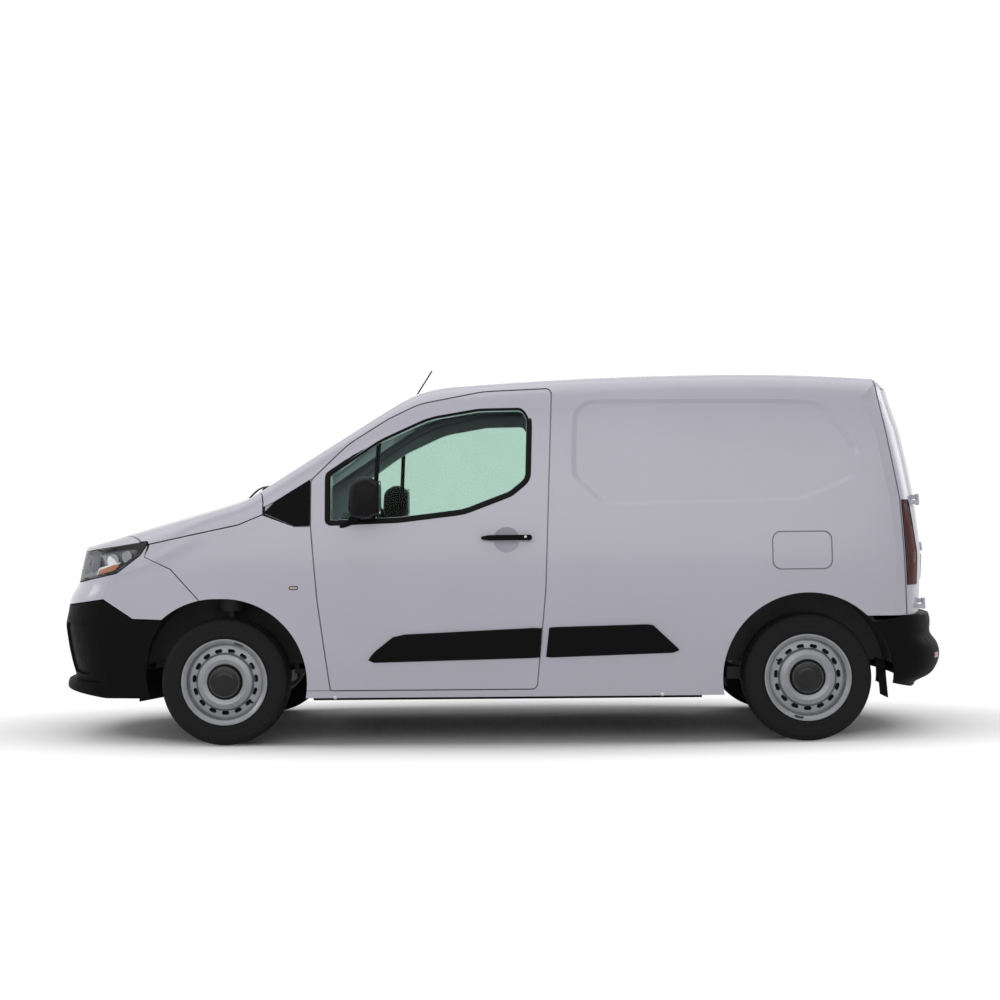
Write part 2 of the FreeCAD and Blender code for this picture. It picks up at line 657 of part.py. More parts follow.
def handle(x):
    """Strap handle over the bowl, standing on a foot at each end."""
    outline = [(x - HANDLE_HALF, HANDLE_Z - 6, 6), (x - HANDLE_HALF, HANDLE_Z + 6, 6),
               (x - HANDLE_HALF + 40, HANDLE_Z + 13, 60), (x + HANDLE_HALF, HANDLE_Z + 13, 12),
               (x + HANDLE_HALF, HANDLE_Z - 13, 12), (x - HANDLE_HALF + 40, HANDLE_Z - 13, 60)]
    strap = layer(side_prism(outline, -REACH, -600), -HANDLE_OUT, 0)
    gap = layer(box(x - HANDLE_HALF + 26, x + HANDLE_HALF - 46, -REACH, -600, HANDLE_Z - 30, HANDLE_Z + 30),
                HANDLE_THICKNESS - HANDLE_OUT, 1.0)
    return strap.cut(gap)


def door_glass():
    """Pane seated in the rebate round the window opening."""
    return layer(side_prism(WINDOW_OUTLINE, -REACH, -600, -0.5), GLASS_DEPTH - GLASS_THICKNESS, GLASS_DEPTH)


def cladding(outline):
    """Black strip that stands proud of the panel behind it, with sloping edges."""
    block = tapered_prism(outline, 40 - HALF_WIDTH, -20 - HALF_WIDTH, 24)
    return layer(block, -CLADDING_BULGE, 0)


def fender():
    """Left front wing, from the bumper joint to the door and down to the sill."""
    line = [(x, z - SHUT_GAP) for x, z in reversed(BONNET_SIDE[1:])]
    region = side_prism([(-1672, 950), (-1690, 912), (-1560, 852), (-1411, 690), (-1411, SILL_TOP_Z + PANEL_GAP),
                         (-796 - SHUT_GAP, SILL_TOP_Z + PANEL_GAP),
                         (-853 - SHUT_GAP, 699), (-884 - SHUT_GAP, 1046), (-962, 1046)] + line, -REACH, -500)
    wing = layer(region, 0, SKIN)
    wing = wing.cut(bonnet_region(SHUT_GAP)).cut(front_arch(ARCH_RADIUS)).cut(lamp_region(PANEL_GAP))
    return wing


def front_bumper():
    """Body-coloured nose: the strip ahead of the bonnet, the panel under the lamps and the bumper corners."""
    region = side_prism([(-2400, 1200), (-1500, 1200), (-1675, 978), (-1693, 910), (-1563, 848), (-1414, 686),
                         (-1560, 608), (-1750, 615), (-1897, 710), (-2101, 681), (-2400, 669)], -REACH, REACH)
    nose = layer(region, 0, SKIN)
    nose = nose.cut(bonnet_region(NOSE_GAP)).cut(lamp_region(PANEL_GAP)).cut(front_arch(ARCH_RADIUS))
    return nose.cut(box(NOSE_X - 50, -1700, -GRILLE_Y, GRILLE_Y, GRILLE_Z0, GRILLE_Z1))


GRILLE_Y, GRILLE_Z0, GRILLE_Z1 = 470.0, 742.0, 872.0
INTAKE_Y, INTAKE_Z0, INTAKE_Z1 = 560.0, 372.0, 590.0
LIP_BACK_X, LIP_WIDTH = -1896.0, 70.0
POCKET_OUTLINE = [(-2250, 372, 10), (-2250, 590, 10), (-1990, 590, 25), (-1965, 530, 25), (-1962, 350, 25),
                  (-2010, 340, 20)]
POCKET_Y, POCKET_DEPTH = 600.0, 12.0


def lower_bumper():
    """Black lower bumper with its intake, side pockets and lip."""
    region = side_prism([(-2400, 664), (-2101, 676), (-1897, 705, 30), (-1748, 609, 30), (-1603, 604, 8),
                         (-1668, 490, 150), (-1692, 330, 200), (-1675, SILL_BOTTOM_Z),
                         (LIP_BACK_X, SILL_BOTTOM_Z), (-2400, 300)], -REACH, REACH)
    lower = layer(region, 0, BUMPER_SKIN)
    under = side_prism([(-2400, 300), (-2210, 282), (LIP_BACK_X, SILL_BOTTOM_Z), (LIP_BACK_X, 306),
                        (-2400, 306)], -REACH, REACH)
    lip = under.common(end("lip", 0)).common(hull(2.0)).cut(end("lip", LIP_WIDTH).common(hull(LIP_WIDTH)))
    lower = lower.fuse(lip)
    lower = lower.cut(box(NOSE_X - 50, -1900, -INTAKE_Y, INTAKE_Y, INTAKE_Z0, INTAKE_Z1))
    for side in (-1, 1):
        pocket = side_prism(POCKET_OUTLINE, *sorted((side * POCKET_Y, side * REACH)))
        lower = lower.cut(outside(pocket, POCKET_DEPTH))
    return lower


def grille():
    """Slatted grille of the nose and of the lower intake, joined by one backing plate."""
    slats, backing = [], [box(NOSE_X, -1900, -300, 300, INTAKE_Z1 - 4, GRILLE_Z0 + 4)]
    for low, high, half, count in ((GRILLE_Z0, GRILLE_Z1, GRILLE_Y, 5), (INTAKE_Z0, INTAKE_Z1, INTAKE_Y, 6)):
        pitch = (high - low) / count
        for i in range(count):
            z = low + pitch * (i + 0.5)
            slats.append(box(NOSE_X, -1900, -half + 2, half - 2, z - 7, z + 7))
        backing.append(box(NOSE_X, -1900, -half + 2, half - 2, low + 2, high - 2))
    plate = backing[0].fuse(backing[1:]).common(end("front", 45.0)).cut(end("front", 60.0))
    bars = slats[0].fuse(slats[1:]).common(end("front", 10.0)).cut(end("front", 60.0))
    return plate.fuse(bars)


def headlamp():
    """Left headlamp: a solid lens block behind the skin line."""
    return layer(lamp_region(0).common(box(-2300, -1500, -REACH, 0, 600, 1200)), 0, LAMP_DEPTH)


def link(points, radius, y0, y1):
    """Flat bar with round ends along a chain of points in the side view."""
    pieces = [across(radius, x, z, y0, y1) for x, z in points]
    for (xa, za), (xb, zb) in zip(points, points[1:]):
        length = math.hypot(xb - xa, zb - za)
        bar = box(0, length, y0, y1, -radius, radius)
        bar.rotate(V(0, 0, 0), V(0, -1, 0), math.degrees(math.atan2(zb - za, xb - xa)))
        bar.translate(V(xa, 0, za))
        pieces.append(bar)
    return pieces[0].fuse(pieces[1:])


def bonnet():
    lid = layer(bonnet_region(0), 0, SKIN).cut(lamp_region(SHUT_GAP))
    x, z, y = BONNET_HINGE_X, BONNET_HINGE_Z, BONNET_HINGE_Y
    arm = link([(x + dx, z + dz) for dx, dz in HINGE_ARM], HINGE_ARM_RADIUS, y, y + HINGE_ARM_WIDTH)
    arm = core(arm, SKIN - 1.0).common(arm)
    arm = arm.cut(across(HINGE_PIN + RUNNING_FIT, x, z, 0, REACH))
    return lid.fuse([arm, mirrored(arm)])


COWL_SINK, COWL_THICKNESS, COWL_Y = 6.0, 26.0, 640.0


def cowl():
    """Black scuttle between bonnet and windscreen."""
    strip = layer(box(COWL_X - 120, -1115, -COWL_Y, COWL_Y, 1040, 1600), COWL_SINK, COWL_SINK + COWL_THICKNESS)
    return strip.cut(bonnet_region(SHUT_GAP)).cut(screen_region(PANEL_GAP))


def pillar_cover():
    """Black cover between wing, screen pillar and front door."""
    return layer(side_prism(COVER_OUTLINE, -REACH, -600), 1.0, SKIN)


def roof():
    """Roof skin with its rear edge turned down to the doors and a flange under the screen's top edge."""
    skin = layer(roof_region(0), 0, ROOF_THICKNESS)
    skin = skin.cut(box(1700, 2300, -900, 900, 1300, ROOF_BOTTOM_Z))
    flange = layer(box(ROOF_FRONT_X - 2 * FLANGE, ROOF_FRONT_X, -600, 600, 1500, 1900), GLASS_THICKNESS,
                   ROOF_THICKNESS)
    return skin.fuse(flange)


def rear_opening(side_grow, middle_y):
    """Prism through the tail over the left rear door's outline, grown sideways, down and up by side_grow."""
    y0, z0, z1 = REAR_DOOR_Y + side_grow, REAR_DOOR_BOTTOM - side_grow, REAR_DOOR_TOP + side_grow
    outline = [(middle_y, z0), (-y0, z0), (-y0, REAR_DOOR_KNEE_Z), (-y0 + REAR_DOOR_LEAN, z1), (middle_y, z1)]
    face = Part.Face(rounded_wire(outline, "yz"))
    face.translate(V(1700, 0, 0))
    return face.extrude(V(600, 0, 0))


REAR_HINGE_Z = (650.0, 1150.0)
REAR_HINGE_RADIUS, REAR_HINGE_HEIGHT, REAR_PIN = 9.0, 26.0, 5.0
REAR_HINGE_STANDOFF = 28.0
LEAF_WIDTH, LEAF_GAP = 40.0, 3.0


def rear_hinge_line():
    """Point and direction of the left rear door's hinge axis, which follows the lean of the tail."""
    low, high = [V(end_x("rear", REAR_DOOR_Y, z) + REAR_HINGE_STANDOFF, -REAR_DOOR_Y, z) for z in REAR_HINGE_Z]
    return low, (high - low).normalize()


def rear_hinges(on_door):
    """Hinge leaves at the tail: the upper knuckle with its bore on the door, the lower one with a pin on the body."""
    leaves = []
    height, y = REAR_HINGE_HEIGHT, REAR_DOOR_Y
    start, way = rear_hinge_line()
    for z in REAR_HINGE_Z:
        centre = start + way * ((z - start.z) / way.z)
        if on_door:
            leaf = box(centre.x - 60, centre.x, -y, -y + LEAF_WIDTH, z + LEAF_GAP, z + height - LEAF_GAP)
            knuckle = Part.makeCylinder(REAR_HINGE_RADIUS, height, centre + way * 0.3, way)
        else:
            leaf = box(centre.x - 60, centre.x, -y - LEAF_WIDTH, -y, z - height + LEAF_GAP, z - LEAF_GAP)
            knuckle = Part.makeCylinder(REAR_HINGE_RADIUS, height, centre - way * height, way)
        leaf = outside(leaf.fuse(knuckle), 0)
        leaf = max(leaf.Solids, key=lambda solid: solid.BoundBox.XMax)
        pin_radius = REAR_PIN + RUNNING_FIT if on_door else REAR_PIN
        pin = Part.makeCylinder(pin_radius, height - 2, centre - way, way)
        leaves.append(leaf.cut(pin) if on_door else leaf.fuse(pin))
    return leaves


def rear_door():
    """Left rear door: outer skin and an inner box set in from it."""
    block = trimmed(hull(0).common(rear_opening(0, -3.0)), 0).cut(end("rear", REAR_DOOR_THICKNESS))
    ring = rear_opening(60, 50).cut(rear_opening(-REAR_DOOR_STEP, 50)).common(end("rear", DOOR_SKIN))
    return block.cut(ring).fuse(rear_hinges(True))


def tail_lamp():
    return layer(tail_lamp_region(0), 0, TAIL_LAMP_DEPTH)


def rear_bumper():
    region = side_prism([(1700, 572), (1795, 572), (1947, 598), (2300, 598), (2300, 250), (1990, 250),
                         (1868, 280), (1700, 300)], -REACH, REACH)
    outer = hull(-6.0).common(region).common(end("rear_bumper", 0))
    inner = hull(14.0).common(end("rear_bumper", 20.0))
    bumper = outer.cut(inner).cut(rear_arch(ARCH_RADIUS + 6)).cut(box(1700, 1880, -700, 700, 200, 700))
    step = end("rear_bumper", 2).common(box(2000, 2300, -860, 860, 574, 598)).common(hull(0))
    return bumper.fuse(step)


def revolve_y(points, x, z, y):
    """Solid of revolution about an axis along Y; points are (radius, distance along the axis)."""
    wire = Part.makePolygon([V(0, w, r) for r, w in points] + [V(0, points[0][1], points[0][0])])
    solid = Part.Face(wire).revolve(V(0, 0, 0), V(0, 1, 0), 360)
    solid.translate(V(x, y, z))
    return solid


HOLE_COUNT, HOLE_RING = 15, 149.0
HOLE_LENGTH, HOLE_RADIUS = 36.0, 9.5
SPINDLE_RADIUS = 30.0
SPINDLE_FIT = 0.05


def wheel(x):
    """Left wheel: pressed steel disc with a ring of holes, rim barrel and centre cap; outward is -Y."""
    bore = SPINDLE_RADIUS + SPINDLE_FIT
    outer = [(RIM_RADIUS, -94), (RIM_RADIUS, -88), (190, -82), (190, 82), (RIM_RADIUS, 88), (RIM_RADIUS, 94),
             (199, 94), (184, 84), (184, -82), (199, -94)]
    disc = [(185, -56), (170, -60), (140, -64), (130, -76), (108, -84), (86, -77), (79, -62), (76, -84),
            (70, -89), (40, -91), (0.001, -92), (0.001, -60), (bore, -60), (bore, -24), (66, -24), (78, -52),
            (88, -67), (108, -74), (124, -67), (134, -54), (166, -50), (185, -46)]
    body = revolve_y(outer, 0, 0, 0).fuse(revolve_y(disc, 0, 0, 0))
    holes = []
    for i in range(HOLE_COUNT):
        angle = 2 * math.pi * (i + 0.5) / HOLE_COUNT
        half = HOLE_LENGTH / 2 - HOLE_RADIUS
        hole = box(-half, half, -75, -40, -HOLE_RADIUS, HOLE_RADIUS)
        hole = hole.fuse([across(HOLE_RADIUS, end_at, 0, -75, -40) for end_at in (-half, half)])
        hole.translate(V(0, 0, HOLE_RING))
        hole.rotate(V(0, 0, 0), V(0, 1, 0), math.degrees(angle))
        holes.append(hole)
    body = body.cut(Part.makeCompound(holes))
    body.translate(V(x, -WHEEL_Y, TYRE_RADIUS))
    return body


def tyre(x):
    """Left tyre: rounded shoulders, sidewalls and four grooves round the tread."""
    r, half = TYRE_RADIUS, TYRE_WIDTH / 2
    groove, depth = 5.0, 7.0
    profile = [(190, -80), (205, -87), (214, -90), (240, -half), (262, -half), (288, -92), (301, -80)]
    for w in (-52, -18, 18, 52):
        profile += [(r - 3 * abs(w) / 52, w - groove), (r - depth, w - groove + 1), (r - depth, w + groove - 1),
                    (r - 3 * abs(w) / 52, w + groove)]
    profile += [(301, 80), (288, 92), (262, half), (240, half), (214, 90), (205, 87), (190, 80)]
    return revolve_y(profile, x, TYRE_RADIUS, -WHEEL_Y)


STEER_Y = 640.0
SPINDLE_REACH = 58.0
STRUT_RADIUS = 26.0
STRUT_TOP_Z = 712.0
STRUT_FOOT_Z = 250.0
ARM_RADIUS = 18.0
CARRIER_RADIUS = 54.0


def spindle(x, inner_y):
    return across(SPINDLE_RADIUS, x, TYRE_RADIUS, -WHEEL_Y - SPINDLE_REACH, -inner_y)


def knuckle():
    """Left steering knuckle with its strut, which stands on the steering axis, and the wheel spindle."""
    x = FRONT_AXLE_X
    strut = Part.makeCylinder(STRUT_RADIUS, STRUT_TOP_Z - STRUT_FOOT_Z, V(x, -STEER_Y, STRUT_FOOT_Z))
    spring = Part.makeCylinder(68.0, 66.0, V(x, -STEER_Y, 640))
    carrier = Part.makeCylinder(CARRIER_RADIUS, 44.0, V(x, -STEER_Y + 18, TYRE_RADIUS), V(0, -1, 0))
    return strut.fuse(spring).fuse(carrier).fuse(spindle(x, STEER_Y))


def wheel_housing(arch, inner_y):
    """Outer solid and hollow of the housing over a left wheel."""
    radius = ARCH_RADIUS + HOUSING_GAP
    zone = box(NOSE_X, TAIL_X, -900, 0, TYRE_RADIUS + 60, 1000)
    outer = arch(radius + HOUSING_WALL, -HOUSING_OUTER_Y, -inner_y)
    hollow = arch(radius, -HOUSING_OUTER_Y - 1, -inner_y - HOUSING_WALL)
    return outer.cut(hollow).common(zone), hollow


HOUSING_OUTER_Y = 800.0
CARRIER_X, CARRIER_PLATE = -1900.0, 12.0
CARRIER_LOW_Z, NOSE_SEAM_Z, CARRIER_TOP_Z = 308.0, 712.0, 930.0
COWL_PLATE_X = -1238.0


def front_carriers():
    """Upright plates from the front rails out to the nose skins and headlamps."""
    plates = []
    for low, high, skin in ((CARRIER_LOW_Z, NOSE_SEAM_Z, BUMPER_SKIN), (NOSE_SEAM_Z, CARRIER_TOP_Z, SKIN)):
        plate = box(CARRIER_X, CARRIER_X + CARRIER_PLATE, -REACH, -RAIL_Y, low, high)
        plates.append(plate.common(hull(skin)).common(end("front", skin)))
    plate = plates[0].fuse(plates[1]).cut(bonnet_region(2 * SHUT_GAP)).cut(headlamp())
    return [plate, mirrored(plate)]


def cowl_rest():
    """Rib on the bulkhead's upper edge that the black scuttle lies on."""
    rib = box(COWL_PLATE_X - 12, COWL_PLATE_X, -COWL_Y + 20, COWL_Y - 20, 1085, 1300)
    return rib.common(hull(COWL_SINK + COWL_THICKNESS))


def bonnet_brackets():
    """Bracket and pin inboard of each bonnet hinge arm, on the plate under the scuttle."""
    x, z, y = BONNET_HINGE_X, BONNET_HINGE_Z, BONNET_HINGE_Y
    bracket = box(x - 12, x + 12, y - 12, y - 1, 1085, z + 10)
    pin = across(HINGE_PIN, x, z, y - 6, y + HINGE_ARM_WIDTH)
    piece = bracket.fuse(pin)
    return [piece, mirrored(piece)]


def floor_pan():
    """Underbody: cab and load floors, sills, firewall, rails, wheel housings and rear crossmember."""
    t, wide, cab_end = FLOOR_THICKNESS, 800.0, BULKHEAD_X + 20
    pieces = [box(FIREWALL_X, cab_end, -wide, wide, CAB_FLOOR_Z - t, CAB_FLOOR_Z),
              box(BULKHEAD_X, 1985, -wide, wide, LOAD_FLOOR_Z - t, LOAD_FLOOR_Z),
              box(BULKHEAD_X, BULKHEAD_X + t, -wide, wide, CAB_FLOOR_Z - t, LOAD_FLOOR_Z),
              box(FIREWALL_X - 20, FIREWALL_X, -wide, wide, CAB_FLOOR_Z - t, 1085),
              box(-1250, FIREWALL_X, -wide, wide, 1061, 1085),
              box(COWL_PLATE_X - 12, COWL_PLATE_X, -wide, wide, 1061, 1300),
              box(1925, 1985, -735, 735, 400, LOAD_FLOOR_Z)]
    for side in (-1, 1):
        y0, y1 = sorted((side * 700, side * wide))
        pieces.append(box(FIREWALL_X, 1060, y0, y1, SILL_BOTTOM_Z + 6, CAB_FLOOR_Z))
        y0, y1 = sorted((side * 760, side * 900))
        pieces.append(box(-900, 1060, y0, y1, SILL_BOTTOM_Z + 6, SILL_TOP_Z - 6))
        y0, y1 = sorted((side * RAIL_Y, side * (RAIL_Y + RAIL_WIDTH)))
        pieces.append(box(-2300, FIREWALL_X, y0, y1, 400, 500))
        pieces.append(box(BULKHEAD_X, 2300, y0, y1, 450, LOAD_FLOOR_Z - t))
    pieces.append(box(-2090, -2050, -470, 470, 390, 510))
    shape = pieces[0].fuse(pieces[1:])
    shape = shape.common(hull(SIDE_THICKNESS)).common(box(-2300, 0, -900, 900, 0, 1500).common(
        end("front", 60.0)).fuse(box(-1200, 2300, -900, 900, 0, 1500).cut(
            box(1000, 2400, -900, 900, 0, 1500).cut(end("rear_bumper", 20.0)))))
    shape = shape.fuse(front_carriers() + bonnet_brackets() + [cowl_rest()])
    for arch, inner_y in ((front_arch, FRONT_HOUSING_Y), (rear_arch, REAR_HOUSING_Y)):
        cover, hollow = wheel_housing(arch, inner_y)
        shape = shape.cut(hollow).cut(mirrored(hollow)).fuse([cover, mirrored(cover)])
    return shape


def dashboard():
    wire = rounded_wire([(-1000, 1080, 30), (-760, 1085, 60), (-640, 1020, 60), (-660, 800, 40),
                         (-800, 700, 40), (-1000, 700, 20)], "xz")
    face = Part.Face(wire)
    face.translate(V(0, -760, 0))
    return face.extrude(V(0, 1520, 0))


STEERING_X, STEERING_Y, STEERING_Z = -545.0, -370.0, 1010.0


def steering_wheel():
    """Rim, hub and three spokes, with the column that reaches the dashboard."""
    rim = Part.makeTorus(180, 14)
    hub = Part.makeCylinder(52, 40, V(0, 0, -24))
    shape = rim.fuse(hub)
    for angle in (0, 180, 270):
        spoke = box(0, 176, -16, 16, -12, 4)
        spoke.rotate(V(0, 0, 0), V(0, 0, 1), angle)
        shape = shape.fuse(spoke)
    shape = shape.fuse(Part.makeCylinder(26, 130, V(0, 0, -150)))
    shape.rotate(V(0, 0, 0), V(0, 0, 1), -90)
    shape.rotate(V(0, 0, 0), V(0, 1, 0), 62)
    shape.translate(V(STEERING_X, STEERING_Y, STEERING_Z))
    return shape.cut(dashboard())


def seat(y):
    """Seat base, cushion, backrest and headrest in one closed form."""
    profile = [(-330, 560, 60), (-330, 690, 50), (120, 660, 40), (215, 1160, 30), (205, 1330, 30), (275, 1335, 30),
               (290, 1150, 30), (285, 640, 60), (240, 520, 40)]
    face = Part.Face(rounded_wire(profile, "xz"))
    face.translate(V(0, y - 250, 0))
    shell = face.extrude(V(0, 500, 0))
    for side in (-1, 1):
        y0, y1 = sorted((y + side * 130, y + side * 260))
        shell = shell.cut(box(150, 320, y0, y1, 1165, 1400))
    base = box(-250, 200, y - 200, y + 200, CAB_FLOOR_Z, 540)
    return shell.fuse(base)


def bulkhead():
    """Partition between cab and load space, up to the roof."""
    slab = box(BULKHEAD_X, BULKHEAD_X + 30, -REACH, REACH, LOAD_FLOOR_Z, 1900)
    middle = slab.common(hull(ROOF_THICKNESS)).common(box(0, 1000, -600, 600, 0, 2000))
    return slab.common(hull(SIDE_THICKNESS)).fuse(middle)


def engine_block():
    return box(-1930, -1400, -RAIL_Y, RAIL_Y, 330, 880)


def subframe():
    """Front subframe with the lower arms that reach the knuckles."""
    frame = box(-1420, -1130, -400, 400, 215, 275)
    for side in (-1, 1):
        arm_z = STRUT_FOOT_Z - ARM_RADIUS - 0.2
        arm = Part.makeCylinder(ARM_RADIUS, STEER_Y + 12 - 390, V(FRONT_AXLE_X, side * 390, arm_z), V(0, side, 0))
        frame = frame.fuse(arm)
    for side in (-1, 1):
        y0, y1 = sorted((side * 395, side * 350))
        frame = frame.fuse(box(-1300, -1240, y0 - 30, y1 + 30, 275, 400))
    return frame


def rear_axle():
    """Twist beam with trailing arms and the two rear spindles."""
    x = REAR_AXLE_X
    beam = box(x - 260, x - 190, -600, 600, 300, 362)
    for side in (-1, 1):
        y0, y1 = sorted((side * 580, side * 640))
        beam = beam.fuse(box(x - 480, x + 60, y0, y1, 285, 345))
        stub = spindle(x, 600)
        beam = beam.fuse(stub if side < 0 else mirrored(stub))
        beam = beam.fuse(box(x - 480, x - 437, y0, y1, 345, LOAD_FLOOR_Z - FLOOR_THICKNESS))
    return beam


def exhaust():
    pipe = Part.makeCylinder(24, 2900, V(-1000, 150, 272), V(1, 0, 0))
    silencer = box(1600, 1880, 60, 330, 240, 380)
    hanger = box(1700, 1720, 190, 200, 380, LOAD_FLOOR_Z - FLOOR_THICKNESS)
    front = box(-1000, -980, 140, 160, 280, CAB_FLOOR_Z - FLOOR_THICKNESS)
    return pipe.fuse(silencer).fuse(hanger).fuse(front)


def fuel_tank():
    return box(420, 1000, -360, 60, 320, LOAD_FLOOR_Z - FLOOR_THICKNESS)


def antenna():
    base_x, tip = -462.0, (-350.0, 1862.0)
    z = top_z(base_x, 0)
    base = Part.makeCylinder(16, 14, V(base_x, 0, z - 4))
    way = V(tip[0] - base_x, 0, tip[1] - z)
    mast = Part.makeCylinder(3.5, way.Length, V(base_x, 0, z), way)
    return outside(base.fuse(mast), 0)


def mirror():
    """Door mirror housing on its arm."""
    wire = rounded_wire([(-700, 1090, 40), (-690, 1250, 60), (-610, 1293, 60), (-540, 1250, 50), (-535, 1110, 40),
                         (-600, 1082, 40)], "xz")
    face = Part.Face(wire)
    face.translate(V(0, -1053, 0))
    house = face.extrude(V(0, 190, 0))
    arm = side_prism([(-790, 1036, 10), (-790, 1062, 10), (-690, 1130, 20), (-640, 1130, 10), (-640, 1085, 20),
                      (-700, 1036, 10)], -1000, -860)
    return outside(house.fuse(arm), 0)


def build():
    side = body_side()
    sliding = layer(side_prism(SLIDING_OUTLINE, -REACH, -300), 0, SIDE_THICKNESS).cut(cargo_recess())
    sliding = mirrored(sliding.cut(handle_scoop(SLIDING_HANDLE_X)))
    side = side.fuse(rear_hinges(False))
    keep("side_left", with_flap_pocket(side))
    keep("side_right", mirrored(side).cut(mirrored(side_prism(SLIDING_OUTLINE, -REACH, -300, SHUT_GAP))))
    keep("sliding_door", sliding)
    keep("fuel_flap", fuel_flap())
    keep_pair("door", front_door())
    keep_pair("door_glass", door_glass())
    keep_pair("handle", handle(HANDLE_X))
    keep("handle_sliding", mirrored(handle(SLIDING_HANDLE_X)))
    keep_pair("cladding_door", cladding(DOOR_CLADDING))
    keep_pair("cladding_side", cladding(SIDE_CLADDING))
    keep_pair("fender", fender())
    keep_pair("pillar_cover", pillar_cover())
    keep_pair("headlamp", headlamp())
    keep_pair("tail_lamp", tail_lamp())
    keep_pair("rear_door", rear_door())
    keep_pair("mirror", mirror())
    keep("bumper_front", front_bumper())
    keep("bumper_lower", lower_bumper())
    keep("grille", grille())
    keep("bonnet", bonnet())
    keep("cowl", cowl())
    keep("roof", roof())
    keep("windscreen", layer(screen_region(0), 0, GLASS_THICKNESS).cut(bonnet_region(SHUT_GAP)))
    keep("bumper_rear", rear_bumper())
    keep("floor", floor_pan())
    keep("dashboard", dashboard())
    keep("steering_wheel", steering_wheel())
    keep("bulkhead", bulkhead())
    keep("seat_left", seat(-400))
    keep("seat_right", seat(400))
    keep("engine", engine_block())
    keep("subframe", subframe())
    keep("rear_axle", rear_axle())
    keep("exhaust", exhaust())
    keep("fuel_tank", fuel_tank())
    keep("antenna", antenna())
    keep_pair("knuckle", knuckle())
    keep_pair("wheel_front", wheel(FRONT_AXLE_X))
    keep_pair("wheel_rear", wheel(REAR_AXLE_X))
    keep_pair("tyre_front", tyre(FRONT_AXLE_X))
    keep_pair("tyre_rear", tyre(REAR_AXLE_X))


build()
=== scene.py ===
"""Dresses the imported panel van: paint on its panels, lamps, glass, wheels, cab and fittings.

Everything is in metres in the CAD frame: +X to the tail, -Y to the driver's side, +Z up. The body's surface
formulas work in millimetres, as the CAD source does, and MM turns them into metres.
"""
import math
import bmesh
import bpy
from mathutils import Matrix, Vector

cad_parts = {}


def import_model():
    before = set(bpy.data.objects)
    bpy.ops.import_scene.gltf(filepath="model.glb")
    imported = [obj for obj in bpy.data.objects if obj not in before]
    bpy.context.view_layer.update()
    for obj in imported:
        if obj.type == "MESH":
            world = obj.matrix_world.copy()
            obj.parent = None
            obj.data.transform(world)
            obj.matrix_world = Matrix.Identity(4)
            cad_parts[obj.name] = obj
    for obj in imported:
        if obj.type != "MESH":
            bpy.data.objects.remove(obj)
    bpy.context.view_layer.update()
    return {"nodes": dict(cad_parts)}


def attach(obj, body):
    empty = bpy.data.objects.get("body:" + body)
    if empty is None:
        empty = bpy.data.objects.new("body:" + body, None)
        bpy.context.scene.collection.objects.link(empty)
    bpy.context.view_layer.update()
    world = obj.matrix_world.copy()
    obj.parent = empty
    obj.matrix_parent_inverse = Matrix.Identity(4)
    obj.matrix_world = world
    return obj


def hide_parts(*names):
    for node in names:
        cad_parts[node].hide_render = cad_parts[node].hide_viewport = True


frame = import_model()
nodes = frame["nodes"]
MM = 0.001
SIDES = (("left", 1.0), ("right", -1.0))
UP = Vector((0.0, 0.0, 1.0))

# Materials: LOW and HIGH are the values between which most of a noise lies
LOW, HIGH = 0.3, 0.7
COAT_ROUGHNESS = 0.13
GRAIN_DEPTH = 0.0004


def shader(name):
    """An empty node material with its Principled shader."""
    mat = bpy.data.materials.new(name)
    mat.use_nodes = True
    tree = mat.node_tree
    return mat, tree, tree.nodes["Principled BSDF"]


def set_values(node, values):
    """Sets sockets of a shader node by their names."""
    for key, value in values.items():
        node.inputs[key].default_value = value


def combined(tree, operation, first, second):
    """One number worked out of two."""
    node = tree.nodes.new("ShaderNodeMath")
    node.operation = operation
    tree.links.new(first, node.inputs[0])
    tree.links.new(second, node.inputs[1])
    return node.outputs[0]


def noise(tree, scale, detail=3.0):
    """Noise in object space, where one unit is a metre."""
    coords = tree.nodes.new("ShaderNodeTexCoord")
    node = tree.nodes.new("ShaderNodeTexNoise")
    set_values(node, {"Scale": scale, "Detail": detail, "Roughness": 0.5})
    tree.links.new(coords.outputs["Object"], node.inputs["Vector"])
    return node.outputs["Fac"]


def ramp(tree, value, stops):
    """Colours along a value; stops are (position, colour)."""
    node = tree.nodes.new("ShaderNodeValToRGB")
    elements = node.color_ramp.elements
    while len(elements) < len(stops):
        elements.new(0.5)
    for element, (position, colour) in zip(elements, stops):
        element.position = position
        element.color = (*colour, 1.0)
    tree.links.new(value, node.inputs["Fac"])
    return node.outputs["Color"]


def remap(tree, value, low, high, to_low, to_high):
    """A value whose range from low to high is stretched over another range."""
    node = tree.nodes.new("ShaderNodeMapRange")
    set_values(node, {"From Min": low, "From Max": high, "To Min": to_low, "To Max": to_high})
    tree.links.new(value, node.inputs["Value"])
    return node.outputs["Result"]


def add_bump(tree, surface, height, strength, distance):
    """Fine grain of a surface; the distance is in metres."""
    node = tree.nodes.new("ShaderNodeBump")
    set_values(node, {"Strength": strength, "Distance": distance})
    tree.links.new(height, node.inputs["Height"])
    tree.links.new(node.outputs["Normal"], surface.inputs["Normal"])


def drifting_colour(tree, surface, value, dark, light):
    """Base colour that goes from dark to light over the middle of a noise."""
    tree.links.new(ramp(tree, value, ((LOW, dark), (HIGH, light))), surface.inputs["Base Color"])


def brighter(colour, factor):
    return tuple(min(1.0, part * factor) for part in colour)


